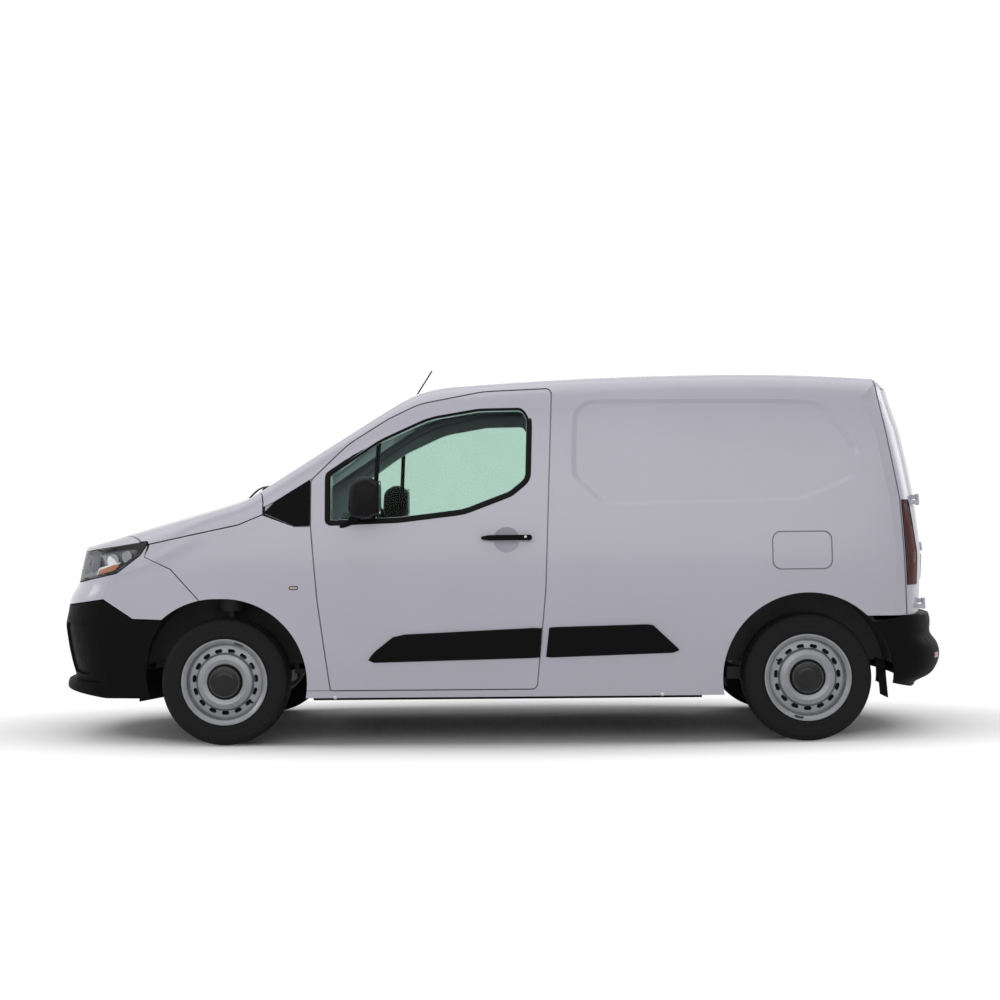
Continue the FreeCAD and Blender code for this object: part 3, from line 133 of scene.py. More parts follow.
def mottled(name, dark, light, roughness, scale=30.0, bump=0.0, bump_scale=800.0, metallic=0.0, coat=0.0,
            specular=0.5):
    """A material whose colour and roughness drift a little over the surface, with a fine grain."""
    mat, tree, surface = shader(name)
    patches = noise(tree, scale)
    drifting_colour(tree, surface, patches, dark, light)
    tree.links.new(remap(tree, patches, LOW, HIGH, roughness * 0.88, min(1.0, roughness * 1.12)),
                   surface.inputs["Roughness"])
    set_values(surface, {"Metallic": metallic, "Coat Weight": coat, "Coat Roughness": COAT_ROUGHNESS,
                         "Specular IOR Level": specular})
    if bump:
        add_bump(tree, surface, noise(tree, bump_scale, 2.0), bump, GRAIN_DEPTH)
    return mat


def glass(name, tint):
    """Clear solid glass, tinted by its colour."""
    mat, tree, surface = shader(name)
    smear = noise(tree, 5.0)
    drifting_colour(tree, surface, smear, tint, brighter(tint, 1.03))
    tree.links.new(remap(tree, smear, LOW, HIGH, 0.0, 0.02), surface.inputs["Roughness"])
    set_values(surface, {"Transmission Weight": 1.0, "IOR": 1.12})
    return mat


def clear_plastic(name, tint):
    """Thin clear moulding: light passes straight through it and its gloss grows toward grazing angles."""
    mat, tree, surface = shader(name)
    drifting_colour(tree, surface, noise(tree, 14.0), tint, brighter(tint, 1.02))
    surface.inputs["Roughness"].default_value = 0.03
    fresnel = tree.nodes.new("ShaderNodeFresnel")
    fresnel.inputs["IOR"].default_value = 1.3
    tree.links.new(remap(tree, fresnel.outputs["Fac"], 0.0, 1.0, 0.03, 0.7), surface.inputs["Alpha"])
    return mat


def woven(name, dark, light):
    """Seat cloth: two crossed sets of threads with a soft sheen."""
    mat, tree, surface = shader(name)
    coords = tree.nodes.new("ShaderNodeTexCoord")
    waves = []
    for direction in ("X", "Z"):
        wave = tree.nodes.new("ShaderNodeTexWave")
        wave.bands_direction = direction
        set_values(wave, {"Scale": 160.0, "Distortion": 1.5})
        tree.links.new(coords.outputs["Object"], wave.inputs["Vector"])
        waves.append(wave.outputs["Fac"])
    threads = combined(tree, "MULTIPLY", *waves)
    tree.links.new(ramp(tree, threads, ((0.1, dark), (0.8, light))), surface.inputs["Base Color"])
    set_values(surface, {"Roughness": 0.85, "Sheen Weight": 0.4})
    add_bump(tree, surface, threads, 0.5, 0.0006)
    return mat


PAINT = mottled("paint", (0.466, 0.454, 0.530), (0.486, 0.474, 0.552), 0.36, scale=3.0, coat=0.7)
BLACK = mottled("black_plastic", (0.0022, 0.0022, 0.0027), (0.0040, 0.0040, 0.0048), 0.62, bump=0.35,
                bump_scale=1400.0, specular=0.07)
GLOSS_BLACK = mottled("gloss_black", (0.003, 0.003, 0.004), (0.005, 0.005, 0.006), 0.22, specular=0.3)
RUBBER = mottled("seal_rubber", (0.004, 0.004, 0.004), (0.007, 0.007, 0.007), 0.7, bump=0.2, specular=0.12)
STEEL = mottled("underbody_steel", (0.02, 0.02, 0.021), (0.04, 0.038, 0.036), 0.6, scale=12.0, bump=0.3,
                bump_scale=300.0)
WHEEL = mottled("wheel_silver", (0.22, 0.228, 0.24), (0.27, 0.278, 0.29), 0.4, scale=20.0, metallic=0.55,
                coat=0.3)
TYRE = mottled("tyre_rubber", (0.006, 0.006, 0.007), (0.010, 0.010, 0.011), 0.68, scale=40.0, bump=0.3,
               bump_scale=900.0, specular=0.16)
INTERIOR = mottled("cab_plastic", (0.016, 0.016, 0.018), (0.026, 0.026, 0.029), 0.62, bump=0.4,
                   bump_scale=1200.0, specular=0.3)
EXHAUST = mottled("exhaust_steel", (0.16, 0.13, 0.11), (0.34, 0.31, 0.29), 0.42, scale=14.0, metallic=0.9,
                  bump=0.2)
IRON = mottled("engine_iron", (0.03, 0.03, 0.031), (0.06, 0.058, 0.056), 0.7, scale=25.0, bump=0.6,
               bump_scale=400.0)
CHROME = mottled("lamp_chrome", (0.72, 0.73, 0.75), (0.8, 0.81, 0.83), 0.08, metallic=1.0)
WINDOW = glass("window_glass", (0.626, 0.769, 0.709))
LENS = clear_plastic("lamp_lens", (0.30, 0.31, 0.34))
RED = mottled("tail_red", (0.28, 0.004, 0.008), (0.38, 0.008, 0.014), 0.25, scale=60.0, coat=0.2)
MIRROR_BLACK = mottled("mirror_black", (0.0014, 0.0014, 0.0018), (0.003, 0.003, 0.0034), 0.42, specular=0.12)
TRAY = mottled("lamp_tray", (0.16, 0.165, 0.18), (0.34, 0.35, 0.38), 0.3, scale=34.0, metallic=0.2)
PROJECTOR = mottled("lamp_projector", (0.012, 0.012, 0.07), (0.04, 0.03, 0.22), 0.08, scale=25.0, coat=1.0)
AMBER = mottled("amber_plastic", (0.55, 0.16, 0.04), (0.68, 0.24, 0.07), 0.16, scale=50.0, coat=0.8)
STEEL_LIGHT = mottled("bright_steel", (0.42, 0.42, 0.43), (0.55, 0.55, 0.56), 0.35, metallic=0.8)
SILVERED = mottled("mirror_glass", (0.55, 0.58, 0.6), (0.6, 0.63, 0.65), 0.02, metallic=1.0)
RED_LENS = clear_plastic("tail_lens", (0.16, 0.010, 0.012))
MAROON = mottled("tail_maroon", (0.010, 0.0015, 0.002), (0.018, 0.002, 0.004), 0.2, scale=60.0, coat=0.3)
PALE = mottled("tail_pale", (0.40, 0.26, 0.26), (0.5, 0.34, 0.34), 0.2, scale=60.0, coat=0.3)
PLATE = mottled("blank_plate", (0.66, 0.66, 0.65), (0.72, 0.72, 0.71), 0.3, scale=40.0)
PALE_LAMP = mottled("repeater_lens", (0.42, 0.36, 0.33), (0.55, 0.46, 0.42), 0.12, scale=60.0, coat=0.6)
CLOTH = woven("seat_cloth", (0.012, 0.012, 0.014), (0.045, 0.045, 0.05))


def both(names):
    """Names of the left and the right node of each kind."""
    return [f"{name}_{side}" for name in names.split() for side, _ in SIDES]


NODE_LOOKS = {
    PAINT: both("side door fender rear_door") + "sliding_door fuel_flap bumper_front bonnet roof".split(),
    BLACK: both("cladding_door cladding_side pillar_cover mirror handle") + [
        "handle_sliding", "bumper_lower", "bumper_rear", "grille", "cowl", "antenna", "fuel_tank"],
    WINDOW: both("door_glass") + ["windscreen"],
    LENS: both("headlamp"),
    RED: both("tail_lamp"),
    STEEL: both("knuckle") + ["floor", "subframe", "rear_axle", "bulkhead"],
    INTERIOR: ["dashboard", "steering_wheel"],
    CLOTH: both("seat"),
    EXHAUST: ["exhaust"],
    IRON: ["engine"],
    WHEEL: both("wheel_front wheel_rear"),
    TYRE: both("tyre_front tyre_rear"),
}
for material, names in NODE_LOOKS.items():
    for name in names:
        nodes[name].data.materials.clear()
        nodes[name].data.materials.append(material)


# The body's surface, in millimetres, by the names and sizes of the part's source

LENGTH = 4403.0
NOSE_X, TAIL_X = -LENGTH / 2, LENGTH / 2
FRONT_AXLE_X, REAR_AXLE_X = NOSE_X + 892.0, TAIL_X - 726.0
WHEEL_Y, AXLE_Z = 776.5, 308.0
PANEL_HALF_WIDTH = 916.8
WAIST_Z, SHOULDER_Z = 700.0, 1100.0
TUCK, LOWER_TUCK_HEIGHT = 30.0, 450.0
TUMBLEHOME, TUMBLE_CURVE = 0.15, 0.00013
FRONT_TAPER_START, FRONT_TAPER = FRONT_AXLE_X + 310.0, 100.0
REAR_TAPER_START, REAR_TAPER = REAR_AXLE_X - 275.0, 46.0
TAPER_RUN = 1000.0
ROOF_Z, ROOF_RAIL_Z, ROOF_PEAK_X = 1794.0, 1650.0, 1100.0
ROOF_FALL_FRONT, ROOF_FALL_REAR, ROOF_CROWN = 2.6e-5, 5.2e-5, 24.0
COWL_X, COWL_Z = FRONT_AXLE_X + 70.0, 1206.0
BONNET_SLOPE, BONNET_CROWN = 0.29, 28.0
SCREEN_SLOPE, SCREEN_SWEEP = 0.626, 55.0
CROWN_Y = 650.0
HEADER_BLEND, COWL_BLEND = 80.0, 18.0
GLASS_OUT = 8.0
FRONT_PROFILE = [(140, 80), (250, 60), (320, 52), (372, 36), (450, 18), (570, 0), (719, 31), (766, 68),
                 (916, 102), (1100, 150), (1300, 200)]
REAR_PROFILE = [(140, -130), (560, -118), (615, -114), (885, -98), (1154, -124), (1325, -152), (1491, -184),
                (1690, -243), (1745, -285), (1780, -350), (1850, -500)]
BUMPER_PROFILE = [(140, -110), (272, -124), (300, -52), (352, -8), (405, 0), (450, -12), (500, -48),
                  (600, -52), (700, -130)]
END_KINDS = {  # profile (height, distance along X), place, way inward and depth of the curve
    "front": (FRONT_PROFILE, NOSE_X + 6.0, 1.0, 330.0),
    "rear": (REAR_PROFILE, TAIL_X, -1.0, 260.0),
    "bumper": (BUMPER_PROFILE, TAIL_X, -1.0, 330.0),
}
END_POWER = 3.0
# An end's curve is this much wider than the side, so that it runs on into it
END_SPARE = 3.0


def smooth_min(a, b, width):
    """The smaller of two numbers, rounded off where they meet."""
    h = max(width - abs(a - b), 0.0) / width
    return min(a, b) - h * h * width / 4.0


def side_y(x, z):
    """Half-width of the body's side at a station x and height z."""
    if z < WAIST_Z:
        y = PANEL_HALF_WIDTH - TUCK * ((WAIST_Z - z) / LOWER_TUCK_HEIGHT) ** 2
    elif z < SHOULDER_Z:
        y = PANEL_HALF_WIDTH - TUCK * ((z - WAIST_Z) / (SHOULDER_Z - WAIST_Z)) ** 2
    else:
        over = z - SHOULDER_Z
        y = PANEL_HALF_WIDTH - TUCK - TUMBLEHOME * over - TUMBLE_CURVE * over ** 2
    if x < FRONT_TAPER_START:
        y -= FRONT_TAPER * ((FRONT_TAPER_START - x) / TAPER_RUN) ** 2
    if x > REAR_TAPER_START:
        y -= REAR_TAPER * ((x - REAR_TAPER_START) / TAPER_RUN) ** 2
    return y


def top_z(x, y):
    """Height of the bonnet, windscreen and roof over the point x, y."""
    share = (y / CROWN_Y) ** 2
    fall = ROOF_FALL_FRONT if x < ROOF_PEAK_X else ROOF_FALL_REAR
    roof = ROOF_Z - fall * (x - ROOF_PEAK_X) ** 2 - ROOF_CROWN * share
    bonnet = COWL_Z + BONNET_SLOPE * (x - COWL_X) - BONNET_CROWN * share
    screen = COWL_Z + SCREEN_SLOPE * (x - SCREEN_SWEEP * share - COWL_X)
    return smooth_min(roof, -smooth_min(-bonnet, -screen, COWL_BLEND), HEADER_BLEND)


def profile_offset(profile, z):
    """Distance along X of an end's profile at a height, read between its points."""
    for (z0, d0), (z1, d1) in zip(profile, profile[1:]):
        if z <= z1:
            return d0 + (d1 - d0) * max(0.0, (z - z0) / (z1 - z0))
    return profile[-1][1]


def end_x(kind, y, z):
    """Position along X of an end of the body at y, z."""
    profile, base, sign, depth = END_KINDS[kind]
    corner_x = base + profile_offset(profile, z) + sign * depth
    x = corner_x
    for _ in range(8):
        share = min(1.0, abs(y) / (side_y(x, min(z, ROOF_RAIL_Z)) + END_SPARE))
        x = corner_x - sign * depth * (1.0 - share ** END_POWER) ** (1 / END_POWER)
    return x


def skin_y(x, z, out=0.0):
    """Half-width of the body at x, z, also where its side turns into an end, moved out square to it."""
    kind = "front" if x < 0 else "rear"
    profile, base, sign, depth = END_KINDS[kind]
    ahead = (base + profile_offset(profile, z) + sign * depth - x) * sign / depth
    flat = side_y(x, z)
    if ahead <= 0:
        return flat + out
    ahead = min(ahead, 0.999)
    return min(flat, (flat + END_SPARE) * (1.0 - ahead ** END_POWER) ** (1 / END_POWER)) + out


# Meshes: points are given in millimetres for the left side; s is 1 there and -1 on the right

# Edges steeper than this stay crisp in a smooth mesh
CRISP_ANGLE = math.radians(38.0)
# A rounded corner takes at most this share of the edges beside it, and turns this far with each piece
CORNER_SHARE = 0.48
ARC_DEGREES = 7.0
PATCH_SHARES = (1.0, 0.8, 0.6, 0.4, 0.2, 0.02)
END_PATCH_THICKNESS, END_PATCH_STEP = 4.0, 16.0


def linked(name, data):
    """A new object in the scene."""
    item = bpy.data.objects.new(name, data)
    bpy.context.scene.collection.objects.link(item)
    return item


def circle(count, power=1.0):
    """Cosine and sine at equal steps of a turn; a power below 1 squares the circle off."""
    result = []
    for k in range(count):
        angle = 2 * math.pi * k / count
        parts = (math.cos(angle), math.sin(angle))
        result.append(tuple(math.copysign(abs(part) ** power, part) for part in parts))
    return result


def build_mesh(name, points, faces, material, s=1.0, body="body", smooth=True):
    """A piece from points and faces that rides a CAD body."""
    mesh = bpy.data.meshes.new(name)
    places = [(x * MM, y * s * MM, z * MM) for x, y, z in points]
    if s < 0:
        faces = [tuple(reversed(face)) for face in faces]
    mesh.from_pydata(places, [], faces)
    edit = bmesh.new()
    edit.from_mesh(mesh)
    bmesh.ops.remove_doubles(edit, verts=edit.verts, dist=1e-6)
    bmesh.ops.recalc_face_normals(edit, faces=edit.faces)
    edit.to_mesh(mesh)
    edit.free()
    mesh.materials.append(material)
    if smooth:
        mesh.shade_smooth()
        mesh.set_sharp_from_angle(angle=CRISP_ANGLE)
    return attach(linked(name, mesh), body)


def grid_faces(rows, columns, close_rows=False):
    """Quads between rows of points; each row closes on itself, and the last row on the first if asked."""
    faces = []
    for i in range(rows if close_rows else rows - 1):
        here, after = i * columns, (i + 1) % rows * columns
        for j in range(columns):
            beside = (j + 1) % columns
            faces.append((here + j, here + beside, after + beside, after + j))
    return faces


def loft(name, rings, material, s=1.0, body="body", caps=True, smooth=True):
    """Skin over closed rings of equal length, with its two ends filled."""
    count = len(rings[0])
    points = [p for ring in rings for p in ring]
    faces = grid_faces(len(rings), count)
    if caps:
        faces.append(tuple(range(count)))
        faces.append(tuple(reversed(range(count * (len(rings) - 1), count * len(rings)))))
    return build_mesh(name, points, faces, material, s, body, smooth)


def lathe(name, profile, centre, material, s, body="body", steps=64):
    """Revolved round an axis along Y through centre; profile is (radius, distance outward)."""
    cx, cy, cz = centre
    rings = [[(cx + r * a, cy - w, cz + r * b) for a, b in circle(steps)] for r, w in profile]
    return loft(name, rings, material, s, body)


def tube(name, path, radius, material, s=1.0, body="body", steps=12, squash=1.0):
    """Round bar along a path of points, flattened in height by squash."""
    rings = []
    for i, here in enumerate(path):
        way = (Vector(path[min(len(path) - 1, i + 1)]) - Vector(path[max(0, i - 1)])).normalized()
        across = way.cross(UP)
        across = across.normalized() if across.length > 1e-3 else Vector((1, 0, 0))
        up = across.cross(way)
        rings.append([tuple(Vector(here) + across * radius * a + up * radius * squash * b)
                      for a, b in circle(steps)])
    return loft(name, rings, material, s, body)


def rounded(outline, step):
    """Points along a closed outline of (first, second, radius), its corners turned into arcs."""
    corners = [Vector(corner[:2]) for corner in outline]
    curve = []
    for i, here in enumerate(corners):
        last, after = corners[i - 1], corners[(i + 1) % len(corners)]
        way_in, way_out = (here - last).normalized(), (after - here).normalized()
        angle = abs(math.atan2(way_in.x * way_out.y - way_in.y * way_out.x, way_in.dot(way_out)))
        run = min(max(1.0, outline[i][2]) * math.tan(angle / 2), CORNER_SHARE * (here - last).length,
                  CORNER_SHARE * (after - here).length)
        start, end = here - way_in * run, here + way_out * run
        pieces = max(2, int(math.degrees(angle) / ARC_DEGREES) + 1)
        for k in range(pieces + 1):
            t = k / pieces
            curve.append(start * (1 - t) ** 2 + here * 2 * t * (1 - t) + end * t * t)
    dense = []
    for a, b in zip(curve, curve[1:] + curve[:1]):
        parts = max(1, int((b - a).length / step))
        dense += [tuple(a + (b - a) * (k / parts)) for k in range(parts)]
    return dense


def matched(outline, grows, count):
    """Rings of one outline moved outward by several amounts, point for point beside each other."""
    points = [Vector(p) for p in rounded(outline, 3.0)]
    lengths = [0.0]
    for a, b in zip(points, points[1:] + points[:1]):
        lengths.append(lengths[-1] + (b - a).length)
    base, k = [], 0
    for i in range(count):
        goal = lengths[-1] * i / count
        while lengths[k + 1] < goal:
            k += 1
        t = (goal - lengths[k]) / (lengths[k + 1] - lengths[k])
        a, b = points[k], points[(k + 1) % len(points)]
        base.append(a + (b - a) * t)
    area = sum(a.x * b.y - b.x * a.y for a, b in zip(base, base[1:] + base[:1]))
    turn = 1.0 if area > 0 else -1.0
    rings = []
    for grow in grows:
        ring = []
        for i, here in enumerate(base):
            way = (base[(i + 1) % count] - base[i - 1]).normalized()
            ring.append(tuple(here + Vector((way.y, -way.x)) * turn * grow))
        rings.append(ring)
    return rings


def side_ring(outline, grows_and_outs, count=160):
    """Closed rings on the body's side, each at its own growth and distance out from the skin."""
    rings = matched(outline, [grow for grow, _ in grows_and_outs], count)
    return [[(x, -skin_y(x, z, out), z) for x, z in ring] for ring, (_, out) in zip(rings, grows_and_outs)]


def shrunk(points, share):
    """A flat ring of points drawn in toward their middle."""
    middle = [sum(point[axis] for point in points) / len(points) for axis in (0, 1)]
    return [(middle[0] + (a - middle[0]) * share, middle[1] + (b - middle[1]) * share) for a, b in points]


def patch(name, outline, step, place, depth, material, s=1.0, body="body"):
    """Plate that follows a surface: place turns two coordinates into a point, depth leads to its back."""
    points = rounded(outline, step)
    rings = [[place(a, b) for a, b in shrunk(points, share)] for share in PATCH_SHARES]
    back = [tuple(here + move for here, move in zip(point, depth)) for point in rings[0]]
    return loft(name, [back] + rings, material, s, body)


def side_patch(name, outline, out, material, s, thickness=2.0, step=18.0):
    """Plate of a rounded outline (x, z, radius) that follows the body's side at a distance out from it."""
    def place(x, z):
        return (x, -skin_y(x, z, out), z)
    return patch(name, outline, step, place, (0.0, thickness, 0.0), material, s)


def end_patch(name, kind, outline, out, material, body):
    """Plate of a rounded outline (y, z, radius) that follows an end of the body at a distance from it."""
    way = -1.0 if kind == "front" else 1.0

    def place(y, z):
        return (end_x(kind, y, z) + way * out, y, z)
    depth = (-way * (END_PATCH_THICKNESS + out), 0.0, 0.0)
    return patch(name, outline, END_PATCH_STEP, place, depth, material, body=body)


def prism(name, outline, y0, y1, material):
    """Straight block along Y through an outline (x, z)."""
    return loft(name, [[(x, y, z) for x, z in outline] for y in (y0, y1)], material, smooth=False)


# Wheels

TYRE_RADIUS = 308.0
SIDEWALL = [(190, 79), (198, 85), (207, 88.5), (214, 89.5), (217, 92), (225, 93.6), (228, 92.6), (246, 97.0),
            (258, 97.2), (270, 95.6), (273, 96.6), (280, 95.4), (288, 91.5), (294, 88.6)]
SHOULDER_RADIUS, SHOULDER_WIDTH, SHOULDER_CUT = 300.5, 82.5, 5.0
TREAD_GROOVES = (-52.0, -18.0, 18.0, 52.0)
GROOVE_TOP, GROOVE_FOOT, GROOVE_DEPTH = 5.6, 4.2, 7.0
TREAD_PITCHES = 68
# Places within one pitch of the tread, and whether the cross groove is cut there
PITCH_STEPS = ((0.0, 0), (0.035, 1), (0.15, 1), (0.185, 0), (0.6, 0))
# Rows across the ribs, and how the tread falls off toward the shoulders
RIB_ROWS = (-76.0, -66.0, -34.0, -6.0, 6.0, 34.0, 66.0, 76.0)
TREAD_FALL, TREAD_FALL_AT, TREAD_POWER = 3.0, 52.0, 1.6
# Cross grooves: slant in pitches and its span, and depths in the outer and the inner ribs
CROSS_SLANT, SLANT_SPAN = 0.42, 34.0
OUTER_CUT, OUTER_FROM = 6.0, 58.0
INNER_CUT, INNER_FROM = 4.5, 22.0
# Turned pieces as (radius, distance outward)
DISC_PROFILE = [(64, 22), (140, 22), (140, 34), (64, 34)]
SHIELD_PROFILE = [(64, 8), (172, 8), (174, 12), (172, 14), (64, 14)]
CAP_PROFILE = [(79, 80), (79, 86), (76.5, 89), (73, 89.6), (71, 88.6), (69, 89.2), (52, 92.2), (50.5, 91.4),
               (49, 92.4), (30, 93.8), (12, 94.4), (0.4, 94.5)]
SKIRT_PROFILE = [(80.5, 62), (83, 66), (83, 79), (79.5, 82)]
VALVE_PATH = ((168, 56), (164, 66), (159, 76))
VALVE_ANGLES = {"front": math.radians(-38.0), "rear": math.radians(150.0)}
# The balance weight lies past the valve by this many degrees, in short steps
WEIGHT_RADIUS, WEIGHT_OUT = 191.5, 91.5
WEIGHT_PAST, WEIGHT_STEP = 100.0, 1.6


def axle_point(x, radius, out, angle):
    """Point of the wheel at x: a radius and an angle about the axle, and a distance outward."""
    return (x + radius * math.cos(angle), -WHEEL_Y - out, AXLE_Z + radius * math.sin(angle))


def tread_top(w):
    """Radius of the tread at a distance from the tyre's middle."""
    return TYRE_RADIUS - TREAD_FALL * (abs(w) / TREAD_FALL_AT) ** TREAD_POWER


def tyre_rows():
    """Rows across the tyre: radius, distance outward, slant of the cross grooves and their depth."""
    rows = [(r, -w, 0.0, 0.0) for r, w in SIDEWALL]
    rows.append((SHOULDER_RADIUS, -SHOULDER_WIDTH, 0.0, SHOULDER_CUT))
    flat = [(w, 0.0) for w in RIB_ROWS]
    for w in TREAD_GROOVES:
        flat += [(w - GROOVE_TOP, 0.0), (w - GROOVE_FOOT, GROOVE_DEPTH), (w + GROOVE_FOOT, GROOVE_DEPTH),
                 (w + GROOVE_TOP, 0.0)]
    for w, depth in sorted(flat):
        slant = CROSS_SLANT * math.sin(w / SLANT_SPAN)
        cut = OUTER_CUT if abs(w) > OUTER_FROM else INNER_CUT if abs(w) > INNER_FROM else 0.0
        rows.append((tread_top(w) - depth, w, slant, max(0.0, cut - depth)))
    rows.append((SHOULDER_RADIUS, SHOULDER_WIDTH, 0.0, SHOULDER_CUT))
    rows += [(r, w, 0.0, 0.0) for r, w in reversed(SIDEWALL)]
    return rows


def tyre(end, x, side, s):
    """Tyre with ringed sidewalls, four grooves round it and slanted grooves across its ribs."""
    rings = []
    for r, w, slant, cut in tyre_rows():
        ring = []
        for i in range(TREAD_PITCHES):
            for share, low in PITCH_STEPS:
                angle = 2 * math.pi * (i + share + slant) / TREAD_PITCHES
                ring.append(axle_point(x, r - cut * low, w, angle))
        rings.append(ring)
    node = f"tyre_{end}_{side}"
    item = loft(f"road_{node}", rings, TYRE, s, f"{side}_{end}_wheel", caps=False)
    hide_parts(node)


def brake(end, x, side, s):
    """Brake disc and its dust shield behind the wheel's holes."""
    body = f"{side}_knuckle" if end == "front" else "body"
    centre = (x, -WHEEL_Y, AXLE_Z)
    lathe(f"brake_disc_{end}_{side}", DISC_PROFILE, centre, STEEL_LIGHT, s, body)
    lathe(f"brake_shield_{end}_{side}", SHIELD_PROFILE, centre, IRON, s, body)


def wheel_trim(end, x, side, s):
    """Black centre cap, valve and balance weight of a pressed steel wheel."""
    body = f"{side}_{end}_wheel"
    centre = (x, -WHEEL_Y, AXLE_Z)
    lathe(f"cap_{end}_{side}", CAP_PROFILE, centre, GLOSS_BLACK, s, body)
    lathe(f"cap_skirt_{end}_{side}", SKIRT_PROFILE, centre, BLACK, s, body)
    angle = VALVE_ANGLES[end]
    valve = [axle_point(x, radius, out, angle) for radius, out in VALVE_PATH]
    tube(f"valve_{end}_{side}", valve, 3.6, RUBBER, s, body)
    weight = [axle_point(x, WEIGHT_RADIUS, WEIGHT_OUT, angle + math.radians(WEIGHT_PAST + WEIGHT_STEP * k))
              for k in range(9)]
    tube(f"weight_{end}_{side}", weight, 4.5, STEEL, s, body, steps=8)


for side, s in SIDES:
    for end, x in (("front", FRONT_AXLE_X), ("rear", REAR_AXLE_X)):
        tyre(end, x, side, s)
        brake(end, x, side, s)
        wheel_trim(end, x, side, s)


# Lamps: the lens is the outer face of the CAD block, the housing its other faces

LENS_WALL = 2.0
# A face belongs to the lens where its normal points outward by more than this share
LENS_FACING = -0.12
LAMP_OUTLINE = [(-2050, 930, 6), (-2018, 935, 60), (-1672, 984, 8), (-1712, 920, 40), (-1829, 833, 60),
                (-2039, 790, 30), (-2072, 784, 6)]
LAMP_CLEAR = [(-2045, 917, 6), (-2014, 922, 60), (-1782, 953, 20), (-1724, 948, 16), (-1736, 918, 24),
              (-1846, 845, 60), (-2034, 803, 30), (-2062, 799, 6)]
LAMP_BEZEL = [(-2056, 806, 6), (-2038, 914, 8), (-1962, 925, 30), (-1922, 900, 30), (-1916, 836, 16)]
LAMP_AMBER = [(-1934, 820, 6), (-1924, 848, 6), (-1850, 872, 8), (-1812, 880, 8), (-1846, 842, 8),
              (-1880, 828, 8)]
LAMP_LEDGE = [(-2052, 812, 4), (-2052, 820, 4), (-1940, 832, 4), (-1926, 858, 6), (-1800, 890, 4),
              (-1845, 862, 6), (-1936, 812, 4)]
LAMP_DEEP = -46.0
LAMP_AXIS = Vector((-0.42, -0.90, 0.02)).normalized()
# The bowl's back is this share of its mouth
BOWL_RINGS, BOWL_BACK = 8, 0.14
BOWLS = (  # name, x, z, radius, depth, distance sunk behind the skin, material
    ("bowl_rear", -1788.0, 912.0, 29.0, 24.0, 16.0, CHROME),
    ("bowl_middle", -1858.0, 893.0, 34.0, 30.0, 16.0, CHROME),
    ("projector_ring", -1966.0, 872.0, 46.0, 10.0, 16.0, TRAY),
    ("projector", -1966.0, 872.0, 40.0, -15.0, 24.0, PROJECTOR),
)
TAIL_FRONT = [(1938, 1144, 4), (1953, 750, 4), (1990, 750, 4), (1985, 1144, 4)]
TAIL_CELL_Y = 792.0
TAIL_CELLS = ((754, 842, RED), (846, 900, PALE), (904, 972, RED), (976, 1018, PALE), (1022, 1140, RED))


def shell_from(name, node, outer, material, s):
    """Thin shell over the faces of a CAD node that look out to its side, or over all its other faces."""
    edit = bmesh.new()
    edit.from_mesh(nodes[node].data)
    edit.transform(nodes[node].matrix_world)
    bmesh.ops.remove_doubles(edit, verts=edit.verts, dist=2e-5)
    bmesh.ops.recalc_face_normals(edit, faces=edit.faces)
    drop = [f for f in edit.faces if (f.normal.y * s < LENS_FACING) != outer]
    bmesh.ops.delete(edit, geom=drop, context="FACES")
    mesh = bpy.data.meshes.new(name)
    edit.to_mesh(mesh)
    edit.free()
    mesh.materials.append(material)
    mesh.shade_smooth()
    mesh.set_sharp_from_angle(angle=CRISP_ANGLE)
    item = linked(name, mesh)
    wall = item.modifiers.new("wall", "SOLIDIFY")
    wall.thickness = LENS_WALL * MM
    wall.offset = -1.0
    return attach(item, "body")


def bowl(name, x, z, radius, depth, sink, material, s):
    """Reflector that faces outward and a little forward behind the lens; a negative depth makes a dome."""
    across = LAMP_AXIS.cross(UP).normalized()
    up = across.cross(LAMP_AXIS)
    middle = Vector((x, -skin_y(x, z), z)) - LAMP_AXIS * sink
    rings = []
    for k in range(BOWL_RINGS + 1):
        t = k / BOWL_RINGS
        r = radius * (BOWL_BACK + (1.0 - BOWL_BACK) * math.sqrt(1.0 - t))
        here = middle - LAMP_AXIS * depth * t
        rings.append([tuple(here + (across * a + up * b) * r) for a, b in circle(40)])
    loft(name, rings, material, s)


def headlamp(side, s):
    """Clear lens over a dark housing with two bright bowls, a blue-black projector and an amber strip."""
    node = f"headlamp_{side}"
    lens = shell_from(f"lens_{side}", node, True, LENS, s)
    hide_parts(node)
    shell_from(f"lamp_housing_{side}", node, False, BLACK, s)
    mask = side_ring(LAMP_OUTLINE, [(-2.0, -3.5)]) + side_ring(LAMP_CLEAR, [(0.0, -4.0), (-4.0, LAMP_DEEP)])
    loft(f"lamp_mask_{side}", mask, GLOSS_BLACK, s, caps=False)
    side_patch(f"lamp_tray_{side}", LAMP_CLEAR, LAMP_DEEP, TRAY, s)
    side_patch(f"lamp_bezel_{side}", LAMP_BEZEL, -26.0, GLOSS_BLACK, s, thickness=16.0)
    for name, *form in BOWLS:
        bowl(f"lamp_{name}_{side}", *form, s)
    side_patch(f"lamp_amber_{side}", LAMP_AMBER, -12.0, AMBER, s, thickness=16.0)
    side_patch(f"lamp_ledge_{side}", LAMP_LEDGE, -15.0, CHROME, s, thickness=10.0)


